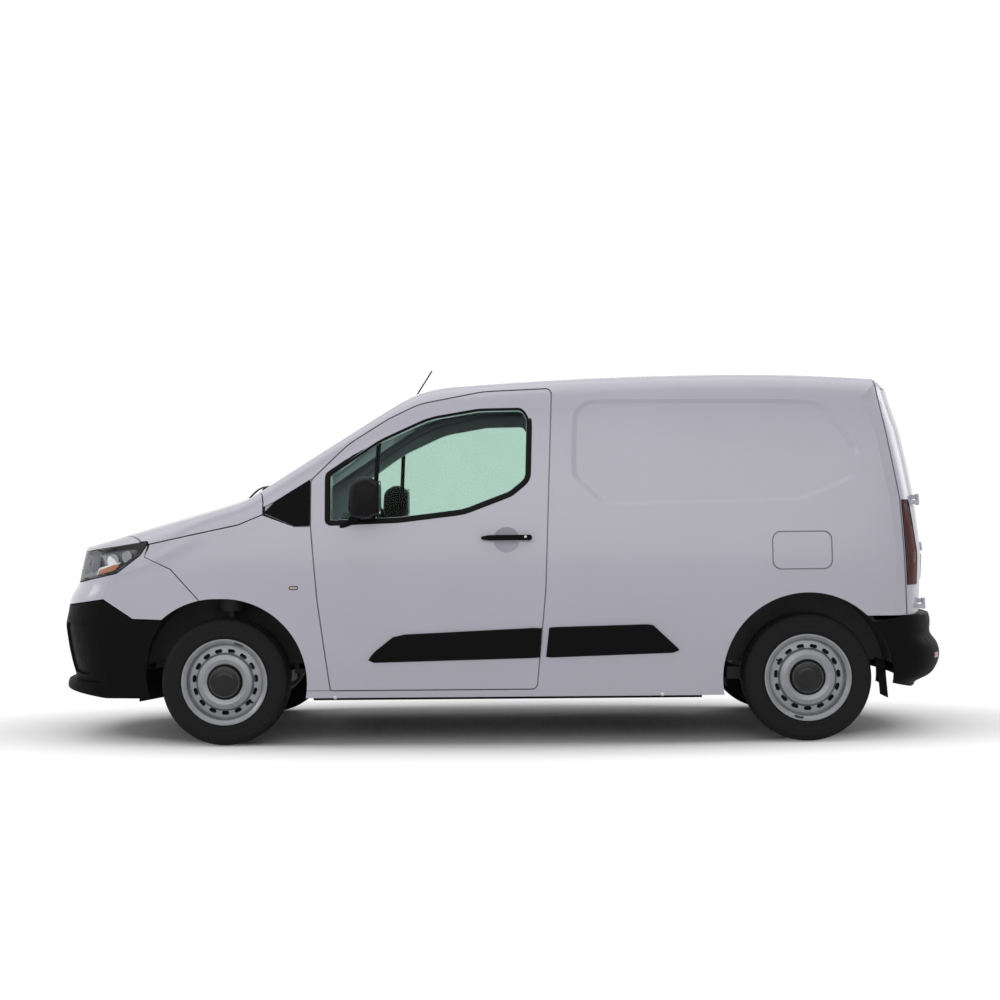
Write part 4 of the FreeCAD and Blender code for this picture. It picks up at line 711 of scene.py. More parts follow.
def tail_lamp(side, s):
    """Tail lamp: red lens over a dark body, with ribs between its chambers and two pale windows."""
    node = f"tail_lamp_{side}"
    lens = shell_from(f"tail_lens_{side}", node, True, RED_LENS, s)
    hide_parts(node)
    shell_from(f"tail_housing_{side}", node, False, BLACK, s)
    side_patch(f"tail_dark_{side}", TAIL_FRONT, -3.0, MAROON, s)
    for k, (low, high, material) in enumerate(TAIL_CELLS):
        low_x, high_x = end_x("rear", TAIL_CELL_Y, low), end_x("rear", TAIL_CELL_Y, high)
        block = [(1992, low, 3), (1988, high, 3), (high_x, high, 3), (low_x, low, 3)]
        side_patch(f"tail_cell_{k}_{side}", block, -7.0, material, s, thickness=8.0, step=9.0)


for side, s in SIDES:
    headlamp(side, s)
    tail_lamp(side, s)


# Doors: seals, quarter bar and lock

WINDOW_OUTLINE = [(-805, 1065, 18), (-806, 1296, 22), (-562, 1462, 500), (-322, 1571, 400), (-81, 1611, 300),
                  (130, 1613, 45), (162, 1560, 60), (153, 1264, 70), (70, 1196, 90), (-154, 1112, 250),
                  (-465, 1076, 400)]
# Rings of the window's outer and inner rubber: growth over the outline and distance out from the skin
OUTER_SEAL = [(13.6, -8.0), (14.4, 0.4), (12.6, 1.8), (2.0, 2.0), (-9.0, -0.5), (-12.0, -2.5),
              (-12.0, -GLASS_OUT + 0.2)]
INNER_SEAL = [(-8.0, -14.0), (-8.0, -20.0), (16.0, -22.0), (16.0, -14.0)]
BAR_TOP, BAR_LENGTH, BAR_LEAN = (-563.0, 1452.0), 380.0, 24.7
BAR_SECTION = ((-11, -13.2), (-11, -18), (11, -18), (11, -13.2))
LOCK_AT, LOCK_OUT = (139.0, 990.0), 26.6
LOCK_PROFILE = [(6.5, -1.0), (6.5, 0.3), (5.5, 0.9), (0.4, 1.0)]


def window_seal(side, s):
    """Black rubber frame that fills the step between the door's skin and its glass."""
    outer = side_ring(WINDOW_OUTLINE, OUTER_SEAL, 280)
    loft(f"window_seal_{side}", outer, RUBBER, s, f"{side}_door", caps=False)
    inner = side_ring(WINDOW_OUTLINE, INNER_SEAL, 200)
    loft(f"window_seal_inner_{side}", inner, RUBBER, s, f"{side}_door", caps=False)


def quarter_bar(side, s):
    """Upright guide of the sliding glass, with the fixed quarter glass ahead of it."""
    rings = []
    for k in range(13):
        t = k / 12
        x, z = BAR_TOP[0] - BAR_LEAN * t, BAR_TOP[1] - BAR_LENGTH * t
        rings.append([(x + dx, -skin_y(x + dx, z, out), z) for dx, out in BAR_SECTION])
    loft(f"quarter_bar_{side}", rings, BLACK, s, f"{side}_door", smooth=False)


def door_lock(side, s):
    """Lock barrel on the handle's cover."""
    x, z = LOCK_AT
    centre = (x, -skin_y(x, z, LOCK_OUT), z)
    lathe(f"lock_{side}", LOCK_PROFILE, centre, STEEL_LIGHT, s, f"{side}_door", steps=24)


for side, s in SIDES:
    window_seal(side, s)
    quarter_bar(side, s)
    door_lock(side, s)


# Mirrors

MIRROR_OUTLINE = [(-697, 1092, 40), (-688, 1250, 62), (-610, 1291, 66), (-542, 1248, 50), (-537, 1112, 42),
                  (-602, 1085, 42)]
MIRROR_IN, MIRROR_OUT = 866.0, 1052.0
MIRROR_MIDDLE = (-600.0, 1182.0)
MIRROR_FLAT = 52.0
MIRROR_RINGS = 22
# The shell's ends are this share of its full outline, and swell out by these powers
MIRROR_END, MIRROR_POWER, MIRROR_ROUND = 0.30, 3.6, 3.0
MIRROR_GLASS = [(-1036, 1102, 40), (-1036, 1262, 55), (-886, 1262, 55), (-886, 1102, 40)]
STALK_RINGS = ((-735, 1050, 868, 42, 13), (-715, 1056, 892, 38, 13), (-680, 1078, 915, 34, 15),
               (-655, 1108, 930, 32, 20))


def mirror_shell(side, s):
    """Rounded shell, fullest in the middle and flat at the glass."""
    mid_x, mid_z = MIRROR_MIDDLE
    rings = []
    for k in range(MIRROR_RINGS + 1):
        t = -1.0 + 2.0 * k / MIRROR_RINGS
        swell = (1.0 - (abs(t) * 0.995) ** MIRROR_POWER) ** (1 / MIRROR_ROUND)
        grow = MIRROR_END + (1.0 - MIRROR_END) * swell
        y = (MIRROR_IN + MIRROR_OUT) / 2 + (MIRROR_OUT - MIRROR_IN) / 2 * t
        ring = []
        for x, z in matched(MIRROR_OUTLINE, [0.0], 72)[0]:
            back = min((x - mid_x) * grow, MIRROR_FLAT)
            ring.append((mid_x + back, -y, mid_z + (z - mid_z) * grow))
        rings.append(ring)
    shell = loft(f"mirror_shell_{side}", rings, MIRROR_BLACK, s, f"{side}_door")
    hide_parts(f"mirror_{side}")


def mirror_stalk(side, s):
    """Foot from the door's corner to the shell, in leaning oval rings."""
    rings = []
    for x, z, y, wide, tall in STALK_RINGS:
        rings.append([(x + wide * a, -y, z + tall * b + 0.35 * wide * a) for a, b in circle(20)])
    loft(f"mirror_stalk_{side}", rings, BLACK, s, f"{side}_door")


def mirror_glass(side, s):
    """Rubber rim and silvered glass at the shell's back."""
    outer, inner = matched(MIRROR_GLASS, [0.0, -5.0], 64)
    rings = [[(x, y, z) for y, z in ring]
             for x, ring in ((-549.5, outer), (-547.4, outer), (-547.0, inner), (-548.6, inner))]
    loft(f"mirror_rim_{side}", rings, RUBBER, s, f"{side}_door", caps=False)
    mid_y, mid_z = -961.0, MIRROR_MIDDLE[1]
    edge = [(-548.2, y, z) for y, z in inner]
    core = [(-548.0, mid_y + (y - mid_y) * 0.02, mid_z + (z - mid_z) * 0.02) for y, z in inner]
    loft(f"mirror_glass_{side}", [edge, core], SILVERED, s, f"{side}_door")


for side, s in SIDES:
    mirror_shell(side, s)
    mirror_stalk(side, s)
    mirror_glass(side, s)


# Wipers, side lamps, sills and wheel housings

# The foot of the windscreen bows back toward its ends
SCREEN_FOOT_X, SCREEN_BOW, SCREEN_LOW_Y = COWL_X + 15.0, 45.0, 765.0
WIPERS = (  # name, then y of the pivot and of the blade's two ends
    ("left", -560.0, -640.0, -80.0),
    ("right", 30.0, -30.0, 470.0),
)
ARM_ARCH, ARM_LIFT = 16.0, 6.0
# Least and most x and z with the corners' radius
REPEATER_RIM, REPEATER_LENS = (-990, -946, 748, 766, 12), (-986, -950, 752, 762, 6)
SILL_FRONT, SILL_BACK = -880.0, 970.0
# The strip's section: distance into the van and height
SILL_SECTION = ((3, 246), (1, 226), (8, 219), (40, 219), (40, 246))
PLUG_PROFILE = [(9, -4), (9, 1), (7, 2.4), (0.4, 2.6)]
JACK_PLUGS = ((-777.0, 232.0), (783.0, 236.0))
LINER_RADIUS = 379.0
LINER_HEIGHTS = (262.0, 380.0)


def block_outline(low_a, high_a, low_b, high_b, radius):
    """Rectangle with rounded corners between two coordinates each way."""
    corners = ((low_a, low_b), (low_a, high_b), (high_a, high_b), (high_a, low_b))
    return [(a, b, radius) for a, b in corners]


def screen_foot(y, back, rise):
    """Point at the foot of the windscreen, moved back along it and up from it."""
    x = SCREEN_FOOT_X + 15.0 + SCREEN_BOW * (y / SCREEN_LOW_Y) ** 2 + back
    return (x, y, top_z(x, y) + rise)


def wiper(name, pivot_y, from_y, to_y):
    """A parked blade, its spine and its arm at the foot of the windscreen."""
    blade = [screen_foot(from_y + (to_y - from_y) * k / 16, 26.0 + 22.0 * k / 16, 4.0) for k in range(17)]
    tube(f"wiper_blade_{name}", blade, 4.0, RUBBER, steps=8)
    spine = [(x, y, z + 7.0) for x, y, z in blade[1:-1]]
    tube(f"wiper_spine_{name}", spine, 3.4, BLACK, steps=8)
    pivot, middle = screen_foot(pivot_y, -42.0, 2.0), blade[9]
    arm = []
    for k in range(9):
        t = k / 8
        x, y, z = (a + (b - a) * t for a, b in zip(pivot, middle))
        arm.append((x, y, z + (ARM_ARCH * math.sin(math.pi * t) + ARM_LIFT * t)))
    tube(f"wiper_arm_{name}", arm, 6.0, BLACK, steps=8, squash=0.6)


def repeater(side, s):
    """Small oval side lamp on the front wing."""
    side_patch(f"repeater_rim_{side}", block_outline(*REPEATER_RIM), 0.8, BLACK, s)
    side_patch(f"repeater_{side}", block_outline(*REPEATER_LENS), 2.0, PALE_LAMP, s, step=8.0)


def sill_strip(side, s):
    """Black strip under the sill with two plugs for the jack."""
    rings = []
    for k in range(61):
        x = SILL_FRONT + (SILL_BACK - SILL_FRONT) * k / 60
        y = skin_y(x, 240.0)
        rings.append([(x, into - y, z) for into, z in SILL_SECTION])
    loft(f"sill_strip_{side}", rings, BLACK, s)
    for k, (x, z) in enumerate(JACK_PLUGS):
        lathe(f"sill_plug_{k}_{side}", PLUG_PROFILE, (x, -skin_y(x, z, -1.0), z), STEEL_LIGHT, s, steps=24)


def mudflap(side, s):
    """Small rubber flap behind the rear wheel."""
    rings = []
    for k in range(9):
        x, z = 1838.0 + 10.0 * k / 8, 330.0 - 120.0 * k / 8
        rings.append([(x, -870, z), (x + 5, -870, z), (x + 5, -690, z), (x, -690, z)])
    loft(f"mudflap_{side}", rings, RUBBER, s, smooth=False)


def air_deflector(side, s):
    """Rubber flap ahead of the front tyre, under the end of the bumper."""
    rings = []
    for k in range(5):
        x, y = -1664.0 - 70.0 * k / 4, -570.0 - 225.0 * k / 4
        rings.append([(x, y, 212), (x + 4, y, 212), (x + 4, y, 360), (x, y, 360)])
    loft(f"air_deflector_{side}", rings, RUBBER, s, smooth=False)


def arch_liner(side, s, axle_x, stretch, inner_y):
    """Lower ends of the wheel housing's lining, down behind the bumper and the sill."""
    low_z, high_z = LINER_HEIGHTS
    for k, sense in enumerate((-1.0, 1.0)):
        rings = []
        for j in range(13):
            z = low_z + (high_z - low_z) * j / 12
            x = axle_x + sense * (math.sqrt(LINER_RADIUS ** 2 - (z - AXLE_Z) ** 2) + stretch)
            back = x + sense * 3
            rings.append([(x, -inner_y, z), (x, -800, z), (back, -800, z), (back, -inner_y, z)])
        loft(f"arch_liner_{side}_{round(axle_x)}_{k}", rings, RUBBER, s, smooth=False)


for form in WIPERS:
    wiper(*form)
for side, s in SIDES:
    repeater(side, s)
    sill_strip(side, s)
    mudflap(side, s)
    air_deflector(side, s)
    arch_liner(side, s, FRONT_AXLE_X, 36.0, 480.0)
    arch_liner(side, s, REAR_AXLE_X, 0.0, 560.0)


# Seats: each pad is a block blown up like stuffed cloth between its sewn lines

SEAT_Y = 400.0
VOXEL = 9.0
CHANNEL_SINK = 7.0
# A pad's face and its back, by how far a point looks the face's way
FACE_SHARE, BACK_SHARE = 0.5, -0.3
PAD_PRESSURE, PAD_FRAMES, PAD_RISE = 4.0, 20, 26.0
RAIL_Y, SHIELD_Y, POST_Y, BASE_HALF = 170.0, 222.0, 58.0, 196.0
SHIELD = [(-262, 382), (-262, 470), (-210, 528), (60, 540), (246, 640), (262, 560), (214, 420), (190, 382)]
SEAT_BASE = [(-236, 372), (-236, 548), (196, 548), (196, 372)]
CUSHION = [(-322, 604, 0, 210, 40), (-312, 612, 0, 226, 66), (-285, 616, 0, 234, 84),
           (-150, 612, 0, 236, 84), (0, 606, 0, 236, 84), (110, 602, 0, 236, 80), (128, 602, 0, 226, 62)]
BACKREST = [(192, 662, 80, 205, 40), (196, 676, 80, 226, 58), (205, 720, 80, 236, 64),
            (222, 860, 80, 236, 56), (236, 1000, 80, 230, 48), (246, 1090, 80, 214, 42),
            (250, 1142, 80, 188, 34), (251, 1156, 80, 170, 20)]
HEADREST = [(238, 1176, 84, 96, 16), (239, 1182, 84, 112, 26), (241, 1210, 84, 122, 32),
            (243, 1270, 84, 122, 32), (244, 1316, 84, 112, 26), (245, 1322, 84, 96, 16)]
CUSHION_LINES = {"along": (-122.0, 122.0), "across": (-215.0, -120.0, -25.0)}
BACKREST_LINES = {"along": (-118.0, 118.0), "across": (760.0, 850.0, 940.0, 1030.0)}
HEADREST_LINES = {"along": (-84.0, 84.0), "across": ()}


def pad_rings(stations, bolster):
    """Rings of a pad; a station is its middle x and z, its face's tilt, half width and half thickness."""
    rings = []
    for x, z, tilt, half_width, half_thick in stations:
        way_x, way_z = -math.sin(math.radians(tilt)), math.cos(math.radians(tilt))
        ring = []
        for across, up in circle(48, 0.4):
            reach = half_thick * up
            if up > 0:
                reach += bolster * abs(across) ** 4 - bolster * 0.3
            ring.append((x + way_x * reach, half_width * across, z + way_z * reach))
        rings.append(ring)
    return rings


def on_line(point, lines, upright):
    """True near a sewn line of a pad; lines run along it at a width and across it at a station."""
    near = VOXEL * 0.7
    place = (point.z if upright else point.x) / MM
    width = point.y / MM
    if any(abs(width - y) < near for y in lines["along"]):
        return True
    return abs(width) < max(lines["along"]) and any(abs(place - at) < near for at in lines["across"])


def applied(item):
    """Applies the piece's modifiers to its mesh."""
    graph = bpy.context.evaluated_depsgraph_get()
    mesh = bpy.data.meshes.new_from_object(item.evaluated_get(graph))
    item.modifiers.clear()
    item.data = mesh
    return item


def blown(item, pinned):
    """Swells a piece by cloth simulation, its pinned points held."""
    start = [v.co.copy() for v in item.data.vertices]
    item.vertex_groups.new(name="sewn").add(pinned, 1.0, "REPLACE")
    cloth = item.modifiers.new("stuffing", "CLOTH")
    cloth.settings.vertex_group_mass = "sewn"
    cloth.settings.use_pressure = True
    cloth.settings.uniform_pressure_force = PAD_PRESSURE
    cloth.settings.effector_weights.gravity = 0.0
    cloth.settings.quality = 4
    cloth.point_cache.frame_start = 1
    cloth.point_cache.frame_end = PAD_FRAMES
    for frame_number in range(1, PAD_FRAMES + 1):
        bpy.context.scene.frame_set(frame_number)
    applied(item)
    bpy.context.scene.frame_set(1)
    for vertex, was in zip(item.data.vertices, start):
        move = vertex.co - was
        if move.length > PAD_RISE * MM:
            vertex.co = was + move.normalized() * PAD_RISE * MM


def sewn_pad(name, stations, bolster, lines, upright):
    """One pad of the left seat: even mesh, sunk sewn lines, stuffing and one subdivision."""
    item = loft(name, pad_rings(stations, bolster), CLOTH)
    remesh = item.modifiers.new("even", "REMESH")
    remesh.mode = "VOXEL"
    remesh.voxel_size = VOXEL * MM
    applied(item)
    face_way = Vector((-1.0, 0.0, 0.0)) if upright else UP
    facing = [vertex.normal.dot(face_way) for vertex in item.data.vertices]
    sewn = [vertex.index for vertex in item.data.vertices
            if facing[vertex.index] > FACE_SHARE and on_line(vertex.co, lines, upright)]
    for index in sewn:
        item.data.vertices[index].co -= face_way * CHANNEL_SINK * MM
    blown(item, sewn + [index for index, share in enumerate(facing) if share < BACK_SHARE])
    item.modifiers.new("smooth", "SUBSURF").levels = 1
    applied(item)
    item.data.materials.clear()
    item.data.materials.append(CLOTH)
    item.data.shade_smooth()
    return item


def seat_frame(side, middle):
    """Seat base with its side shields, rails and the two posts of the headrest."""
    for k, sense in enumerate((-1.0, 1.0)):
        y = middle + sense * RAIL_Y
        rings = [[(x, y - 22, 340), (x, y + 22, 340), (x, y + 22, 366), (x, y - 22, 366)]
                 for x in (-270.0, 230.0)]
        loft(f"seat_rail_{k}_{side}", rings, STEEL, smooth=False)
    for k, sense in enumerate((-1.0, 1.0)):
        y = middle + sense * SHIELD_Y
        prism(f"seat_shield_{k}_{side}", SHIELD, y - 9.0, y + 9.0, INTERIOR)
        post_y = middle + sense * POST_Y
        tube(f"headrest_post_{k}_{side}", [(249, post_y, 1120), (246, post_y, 1200)], 6.0, STEEL_LIGHT)
    prism(f"seat_base_{side}", SEAT_BASE, middle - BASE_HALF, middle + BASE_HALF, INTERIOR)


def seats():
    """Both seats: the left one's pads are simulated, the right one's are copies."""
    pads = [sewn_pad("seat_cushion_left", CUSHION, 16.0, CUSHION_LINES, False),
            sewn_pad("seat_back_left", BACKREST, 18.0, BACKREST_LINES, True),
            sewn_pad("headrest_left", HEADREST, 2.0, HEADREST_LINES, True)]
    for pad in pads:
        twin = linked(pad.name.replace("left", "right"), pad.data.copy())
        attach(twin, "body")
        pad.data.transform(Matrix.Translation((0, -SEAT_Y * MM, 0)))
        twin.data.transform(Matrix.Translation((0, SEAT_Y * MM, 0)))
    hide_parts("seat_left")
    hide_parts("seat_right")
    seat_frame("left", -SEAT_Y)
    seat_frame("right", SEAT_Y)


seats()


# Windscreen border, tail and nose fittings

SCREEN_TOP_X, SCREEN_TOP_Y = -513.0, 640.0


def screen_border():
    """Black printed band round the windscreen."""
    outline = [(SCREEN_TOP_X, SCREEN_TOP_Y, 30), (SCREEN_TOP_X, -SCREEN_TOP_Y, 30)]
    for k in range(9):
        y = -SCREEN_LOW_Y + 2 * SCREEN_LOW_Y * k / 8
        outline.append((SCREEN_FOOT_X + SCREEN_BOW * (y / SCREEN_LOW_Y) ** 2, y, 4))
    rings = [[(x, y, top_z(x, y) + rise) for x, y in ring]
             for ring, rise in zip(matched(outline, [-4.0, -4.0, -22.0, -44.0], 240), (-0.5, 0.5, 0.6, 0.5))]
    loft("windscreen_border", rings, GLOSS_BLACK, caps=False)


PLATE_WIDE, PLATE_TALL = 520.0, 110.0
HANDLE_Z = 976.0
GRIP_FROM, GRIP_LENGTH, GRIP_LIFT = -160.0, 88.0, 17.0
TAIL_PATCHES = (  # name, end, least and most y and z with the corners' radius, distance out, material, body
    ("plate_lamp_bar", "rear", (-620, -64, 902, 944, 16), 10.0, PAINT, "left_rear_door"),
    ("rear_handle_well", "rear", (-172, -60, 946, 1010, 18), 2.0, BLACK, "left_rear_door"),
    ("plate_lamp_0", "rear", (-496, -444, 899, 903, 2), 11.0, PALE, "left_rear_door"),
    ("plate_lamp_1", "rear", (-260, -208, 899, 903, 2), 11.0, PALE, "left_rear_door"),
    ("high_brake_lamp", "rear", (-130, 130, 1712, 1732, 8), 3.0, RED, "body"),
    ("reflector_left", "bumper", (-760, -700, 388, 414, 6), 1.5, RED, "body"),
    ("reflector_right", "bumper", (700, 760, 388, 414, 6), 1.5, RED, "body"),
)


def number_plate(name, kind, y, z, out, body):
    """Blank number plate in its black holder."""
    for part, rim, radius, rise, material in (("_holder", 6.0, 10, 0.0, BLACK), ("", 0.0, 6, 1.5, PLATE)):
        half = PLATE_WIDE / 2 + rim
        outline = block_outline(y - half, y + half, z - rim, z + PLATE_TALL + rim, radius)
        end_patch(name + part, kind, outline, out + rise, material, body)


def tail_fittings():
    """Plate lamp bar with the door handle, blank plates, high brake lamp and bumper reflectors."""
    number_plate("rear_plate", "rear", -352.0, 770.0, 2.0, "left_rear_door")
    for name, kind, outline, out, material, body in TAIL_PATCHES:
        end_patch(name, kind, block_outline(*outline), out, material, body)
    grip = []
    for k in range(13):
        y = GRIP_FROM + GRIP_LENGTH * k / 12
        lift = GRIP_LIFT * math.sin(math.pi * k / 12) ** 0.5
        grip.append((end_x("rear", y, HANDLE_Z) + 1.0 + lift, y, HANDLE_Z))
    tube("rear_handle", grip, 8.0, GLOSS_BLACK, body="left_rear_door", squash=1.3)
    number_plate("front_plate", "front", 0.0, 608.0, 0.6, "body")


# Cab fittings

VENT = (58.0, 30.0, 985.0)  # half width, half height and level
PEDAL_X = -760.0
# The instrument hood's arch, and its section: x, z and the share of the arch's rise there
HOOD_Y, HOOD_HALF_WIDE, HOOD_RISE = -370.0, 185.0, 44.0
HOOD = ((-800, 1076, 0.0), (-770, 1082, 1.0), (-690, 1080, 1.0), (-640, 1058, 0.9),
        (-638, 1050, 0.8), (-668, 1044, 0.6), (-676, 1000, 0.0), (-790, 1000, 0.0))
CAB_BLOCKS = (  # name, outline (x, z), least and most y, material, share by which the ends draw in
    ("instruments", [(-676, 1000), (-650, 1004), (-664, 1084), (-690, 1084)], -520, -220, GLOSS_BLACK, 0.0),
    ("centre_screen", [(-660, 940), (-628, 940), (-634, 1088), (-660, 1088)], -128, 128, GLOSS_BLACK, 0.0),
    ("glove_box_lid", [(-664, 800), (-646, 806), (-634, 936), (-652, 936)], 210, 640, INTERIOR, 0.0),
    ("centre_console", [(-700, 720), (-560, 742), (-548, 800), (-640, 880), (-700, 880)], -110, 110,
     INTERIOR, 0.05),
)


def cab_block(name, outline, y0, y1, material, ends=0.0):
    """Rounded bar along Y through an outline (x, z), its ends drawn in by a share."""
    ring = rounded([(x, z, 8) for x, z in outline], 20.0)
    rings = [[(x, y, z) for x, z in shrunk(ring, share)]
             for y, share in ((y0, 1.0 - ends), (y0 + 6, 1.0), (y1 - 6, 1.0), (y1, 1.0 - ends))]
    return loft(name, rings, material)


def air_vent(name, y):
    """Air vent: frame and four slats on the face of the dashboard."""
    half_wide, half_tall, z = VENT
    outline = block_outline(y - half_wide, y + half_wide, z - half_tall, z + half_tall, 12)
    outlines = matched(outline, [0.0, 0.0, -7.0, -7.0], 60)
    rings = [[(x, a, b) for a, b in ring] for ring, x in zip(outlines, (-652.0, -630.0, -629.0, -652.0))]
    loft(f"{name}_frame", rings, GLOSS_BLACK, caps=False)
    for k in range(4):
        low = z - 18 + 12 * k
        slat = [(-650, low), (-634, low + 2), (-634, low + 5), (-650, low + 3)]
        cab_block(f"{name}_slat_{k}", slat, y - half_wide + 5, y + half_wide - 5, INTERIOR)


def instrument_hood():
    """Arched cover over the instruments, low at its two ends."""
    rings = []
    for k in range(17):
        t = -1.0 + 2.0 * k / 16
        rise = HOOD_RISE * (1.0 - abs(t) ** 3)
        y = HOOD_Y + HOOD_HALF_WIDE * t
        rings.append([(x, y, z + rise * share) for x, z, share in HOOD])
    loft("instrument_hood", rings, INTERIOR)


def pedal(name, y):
    """Rubber pad of a pedal with its arm."""
    x = PEDAL_X
    pad = [(x, 440), (x + 12, 446), (x - 8, 520), (x - 20, 514)]
    cab_block(f"pedal_{name}", pad, y - 28, y + 28, RUBBER)
    tube(f"pedal_arm_{name}", [(x - 18, y, 505), (x - 40, y, 600), (x - 30, y, 712)], 8.0, STEEL)


def dashboard_fittings():
    """Instruments, screen, vents, knobs, glove box lid, console, gear lever and pedals."""
    instrument_hood()
    for name, outline, y0, y1, material, ends in CAB_BLOCKS:
        cab_block(name, outline, y0, y1, material, ends)
    for k, y in enumerate((-690.0, 190.0, 690.0)):
        air_vent(f"vent_{k}", y)
    for k, y in enumerate((-80.0, 0.0, 80.0)):
        tube(f"heater_knob_{k}", [(-662, y, 890), (-630, y, 890), (-624, y, 890)], 22.0, GLOSS_BLACK)
    tube("gear_lever", [(-600, 0, 820), (-586, 0, 880), (-576, 0, 912)], 9.0, GLOSS_BLACK)
    tube("gear_knob", [(-580, 0, 904), (-577, 0, 912), (-571, 0, 940), (-569, 0, 948)], 24.0, INTERIOR)
    for k, y in enumerate((-450.0, -370.0, -270.0)):
        pedal(k, y)


WHEEL_AT = Vector((-545.0, -370.0, 1010.0))
WHEEL_TILT = math.radians(62.0)
WHEEL_OUT = Vector((math.sin(WHEEL_TILT), 0.0, math.cos(WHEEL_TILT)))
WHEEL_UP = Vector((-math.cos(WHEEL_TILT), 0.0, math.sin(WHEEL_TILT)))
WHEEL_RADIUS, WHEEL_GRIP = 180.0, 14.0
HUB_HALF_WIDE, HUB_HALF_TALL = 78.0, 62.0
HUB_RINGS = ((0.90, -24), (1.0, -14), (1.0, 8), (0.93, 17), (0.75, 23), (0.4, 27), (0.04, 28))
# Distance from the hub, half width and level
SPOKE_RINGS = ((50, 34, -6), (90, 24, -8), (140, 17, -6), (174, 22, 0))
# Level, half width and half height
SHROUD_RINGS = ((-20, 46, 50), (-60, 56, 60), (-150, 58, 64))
COLUMN_STALK = ((40, -48), (90, -46), (128, -38))


def wheel_place(a, b, c):
    """Point of the steering wheel: a to the right, b up its face, c toward the driver."""
    return tuple(WHEEL_AT + Vector((0.0, 1.0, 0.0)) * a + WHEEL_UP * b + WHEEL_OUT * c)


def wheel_ring(half_wide, half_tall, level, count, power=1.0):
    """Ring round the steering column."""
    return [wheel_place(half_wide * a, half_tall * b, level) for a, b in circle(count, power)]


def steering_rim():
    """Leather rim, a ring of rings."""
    steps, around = 72, 14
    points = []
    for way_a, way_b in circle(steps):
        for out, up in circle(around):
            reach = WHEEL_RADIUS + WHEEL_GRIP * out
            points.append(wheel_place(reach * way_a, reach * way_b, WHEEL_GRIP * up))
    rim = build_mesh("steering_rim", points, grid_faces(steps, around, close_rows=True), INTERIOR)
    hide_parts("steering_wheel")


def steering_spoke(k, degrees):
    """Flat spoke from the hub to the rim, narrow in its middle."""
    way_a, way_b = math.cos(math.radians(degrees)), math.sin(math.radians(degrees))
    rings = []
    for reach, half, level in SPOKE_RINGS:
        rings.append([wheel_place(way_a * reach - way_b * w, way_b * reach + way_a * w, level + rise)
                      for w, rise in ((-half, -5), (-half, 4), (half, 4), (half, -5))])
    loft(f"steering_spoke_{k}", rings, GLOSS_BLACK)


def steering_wheel():
    """Rim, three spokes, padded hub, column shroud and two stalks."""
    steering_rim()
    for k, degrees in enumerate((0.0, 180.0, 270.0)):
        steering_spoke(k, degrees)
    hub = [wheel_ring(HUB_HALF_WIDE * share, HUB_HALF_TALL * share, level, 48, 0.7)
           for share, level in HUB_RINGS]
    loft("steering_hub", hub, INTERIOR)
    shroud = [wheel_ring(wide, tall, level, 32) for level, wide, tall in SHROUD_RINGS]
    loft("column_shroud", shroud, INTERIOR)
    for k, sense in enumerate((-1.0, 1.0)):
        stalk = [wheel_place(sense * a, 12, c) for a, c in COLUMN_STALK]
        tube(f"column_stalk_{k}", stalk, 7.0, GLOSS_BLACK)


DOOR_THICKNESS = 78.0
POCKET = ((350, -4), (356, 40), (470, 46), (476, 42), (470, 34), (366, 30), (362, -4))
DOOR_LEVER = ((-560, 800, 4), (-545, 801, 16), (-500, 803, 18), (-470, 804, 12))
DOOR_PULL = ((-420, 706, 0), (-412, 740, 34), (-330, 760, 38), (-250, 762, 34), (-240, 742, 0))
SPEAKER_AT = (-640.0, 560.0)
SPEAKER_RINGS = ((84, -4), (84, 6), (76, 9), (70, 4), (30, 6), (1, 8))


def lining_points(places):
    """Points on a front door's inner trim, each from x, z and its distance into the cab."""
    return [(x, into + DOOR_THICKNESS - skin_y(x, z), z) for x, z, into in places]


def armrest(side, s):
    """Armrest that swells toward its middle and drops toward the rear."""
    rings = []
    for k in range(25):
        t = k / 24
        x = -600.0 + 560.0 * t
        deep = 50.0 * math.sin(math.pi * min(1.0, 0.12 + t * 0.9)) ** 0.4
        lift = 26.0 * (1.0 - t)
        rings.append(lining_points([(x, 690 + lift, -4), (x, 694 + lift, deep * 0.8), (x, 684 + lift, deep),
                                    (x, 652 + lift * 0.6, deep * 0.9), (x, 620 + lift * 0.4, deep * 0.3),
                                    (x, 612 + lift * 0.4, -4)]))
    loft(f"armrest_{side}", rings, INTERIOR, s, f"{side}_door")


def door_lining(side, s):
    """Inner trim of a front door: armrest, pocket, loudspeaker, release lever and pull."""
    body = f"{side}_door"
    armrest(side, s)
    pocket = [lining_points([(-700.0 + 660.0 * k / 20, z, into) for z, into in POCKET]) for k in range(21)]
    loft(f"door_pocket_{side}", pocket, INTERIOR, s, body)
    x, z = SPEAKER_AT
    y = DOOR_THICKNESS - skin_y(x, z)
    speaker = [[(x + radius * a, y + into, z + radius * b) for a, b in circle(40)]
               for radius, into in SPEAKER_RINGS]
    loft(f"door_speaker_{side}", speaker, RUBBER, s, body)
    tube(f"door_lever_{side}", lining_points(DOOR_LEVER), 7.0, STEEL_LIGHT, s, body)
    tube(f"door_pull_{side}", lining_points(DOOR_PULL), 10.0, INTERIOR, s, body)


screen_border()
tail_fittings()
dashboard_fittings()
steering_wheel()
for side, s in SIDES:
    door_lining(side, s)


# Camera, light and floor

CAMERA_AT = Vector((0.184, -9.374, 1.05))
AIM_AT = Vector((0.0189, -0.874, 1.1665))
ROLL = math.radians(0.58)
FIELD = math.radians(31.36)
WHITE = (1.0, 1.0, 1.0, 1.0)
SKY_STRENGTH = 0.38
FLOOR_HALF = 30.0
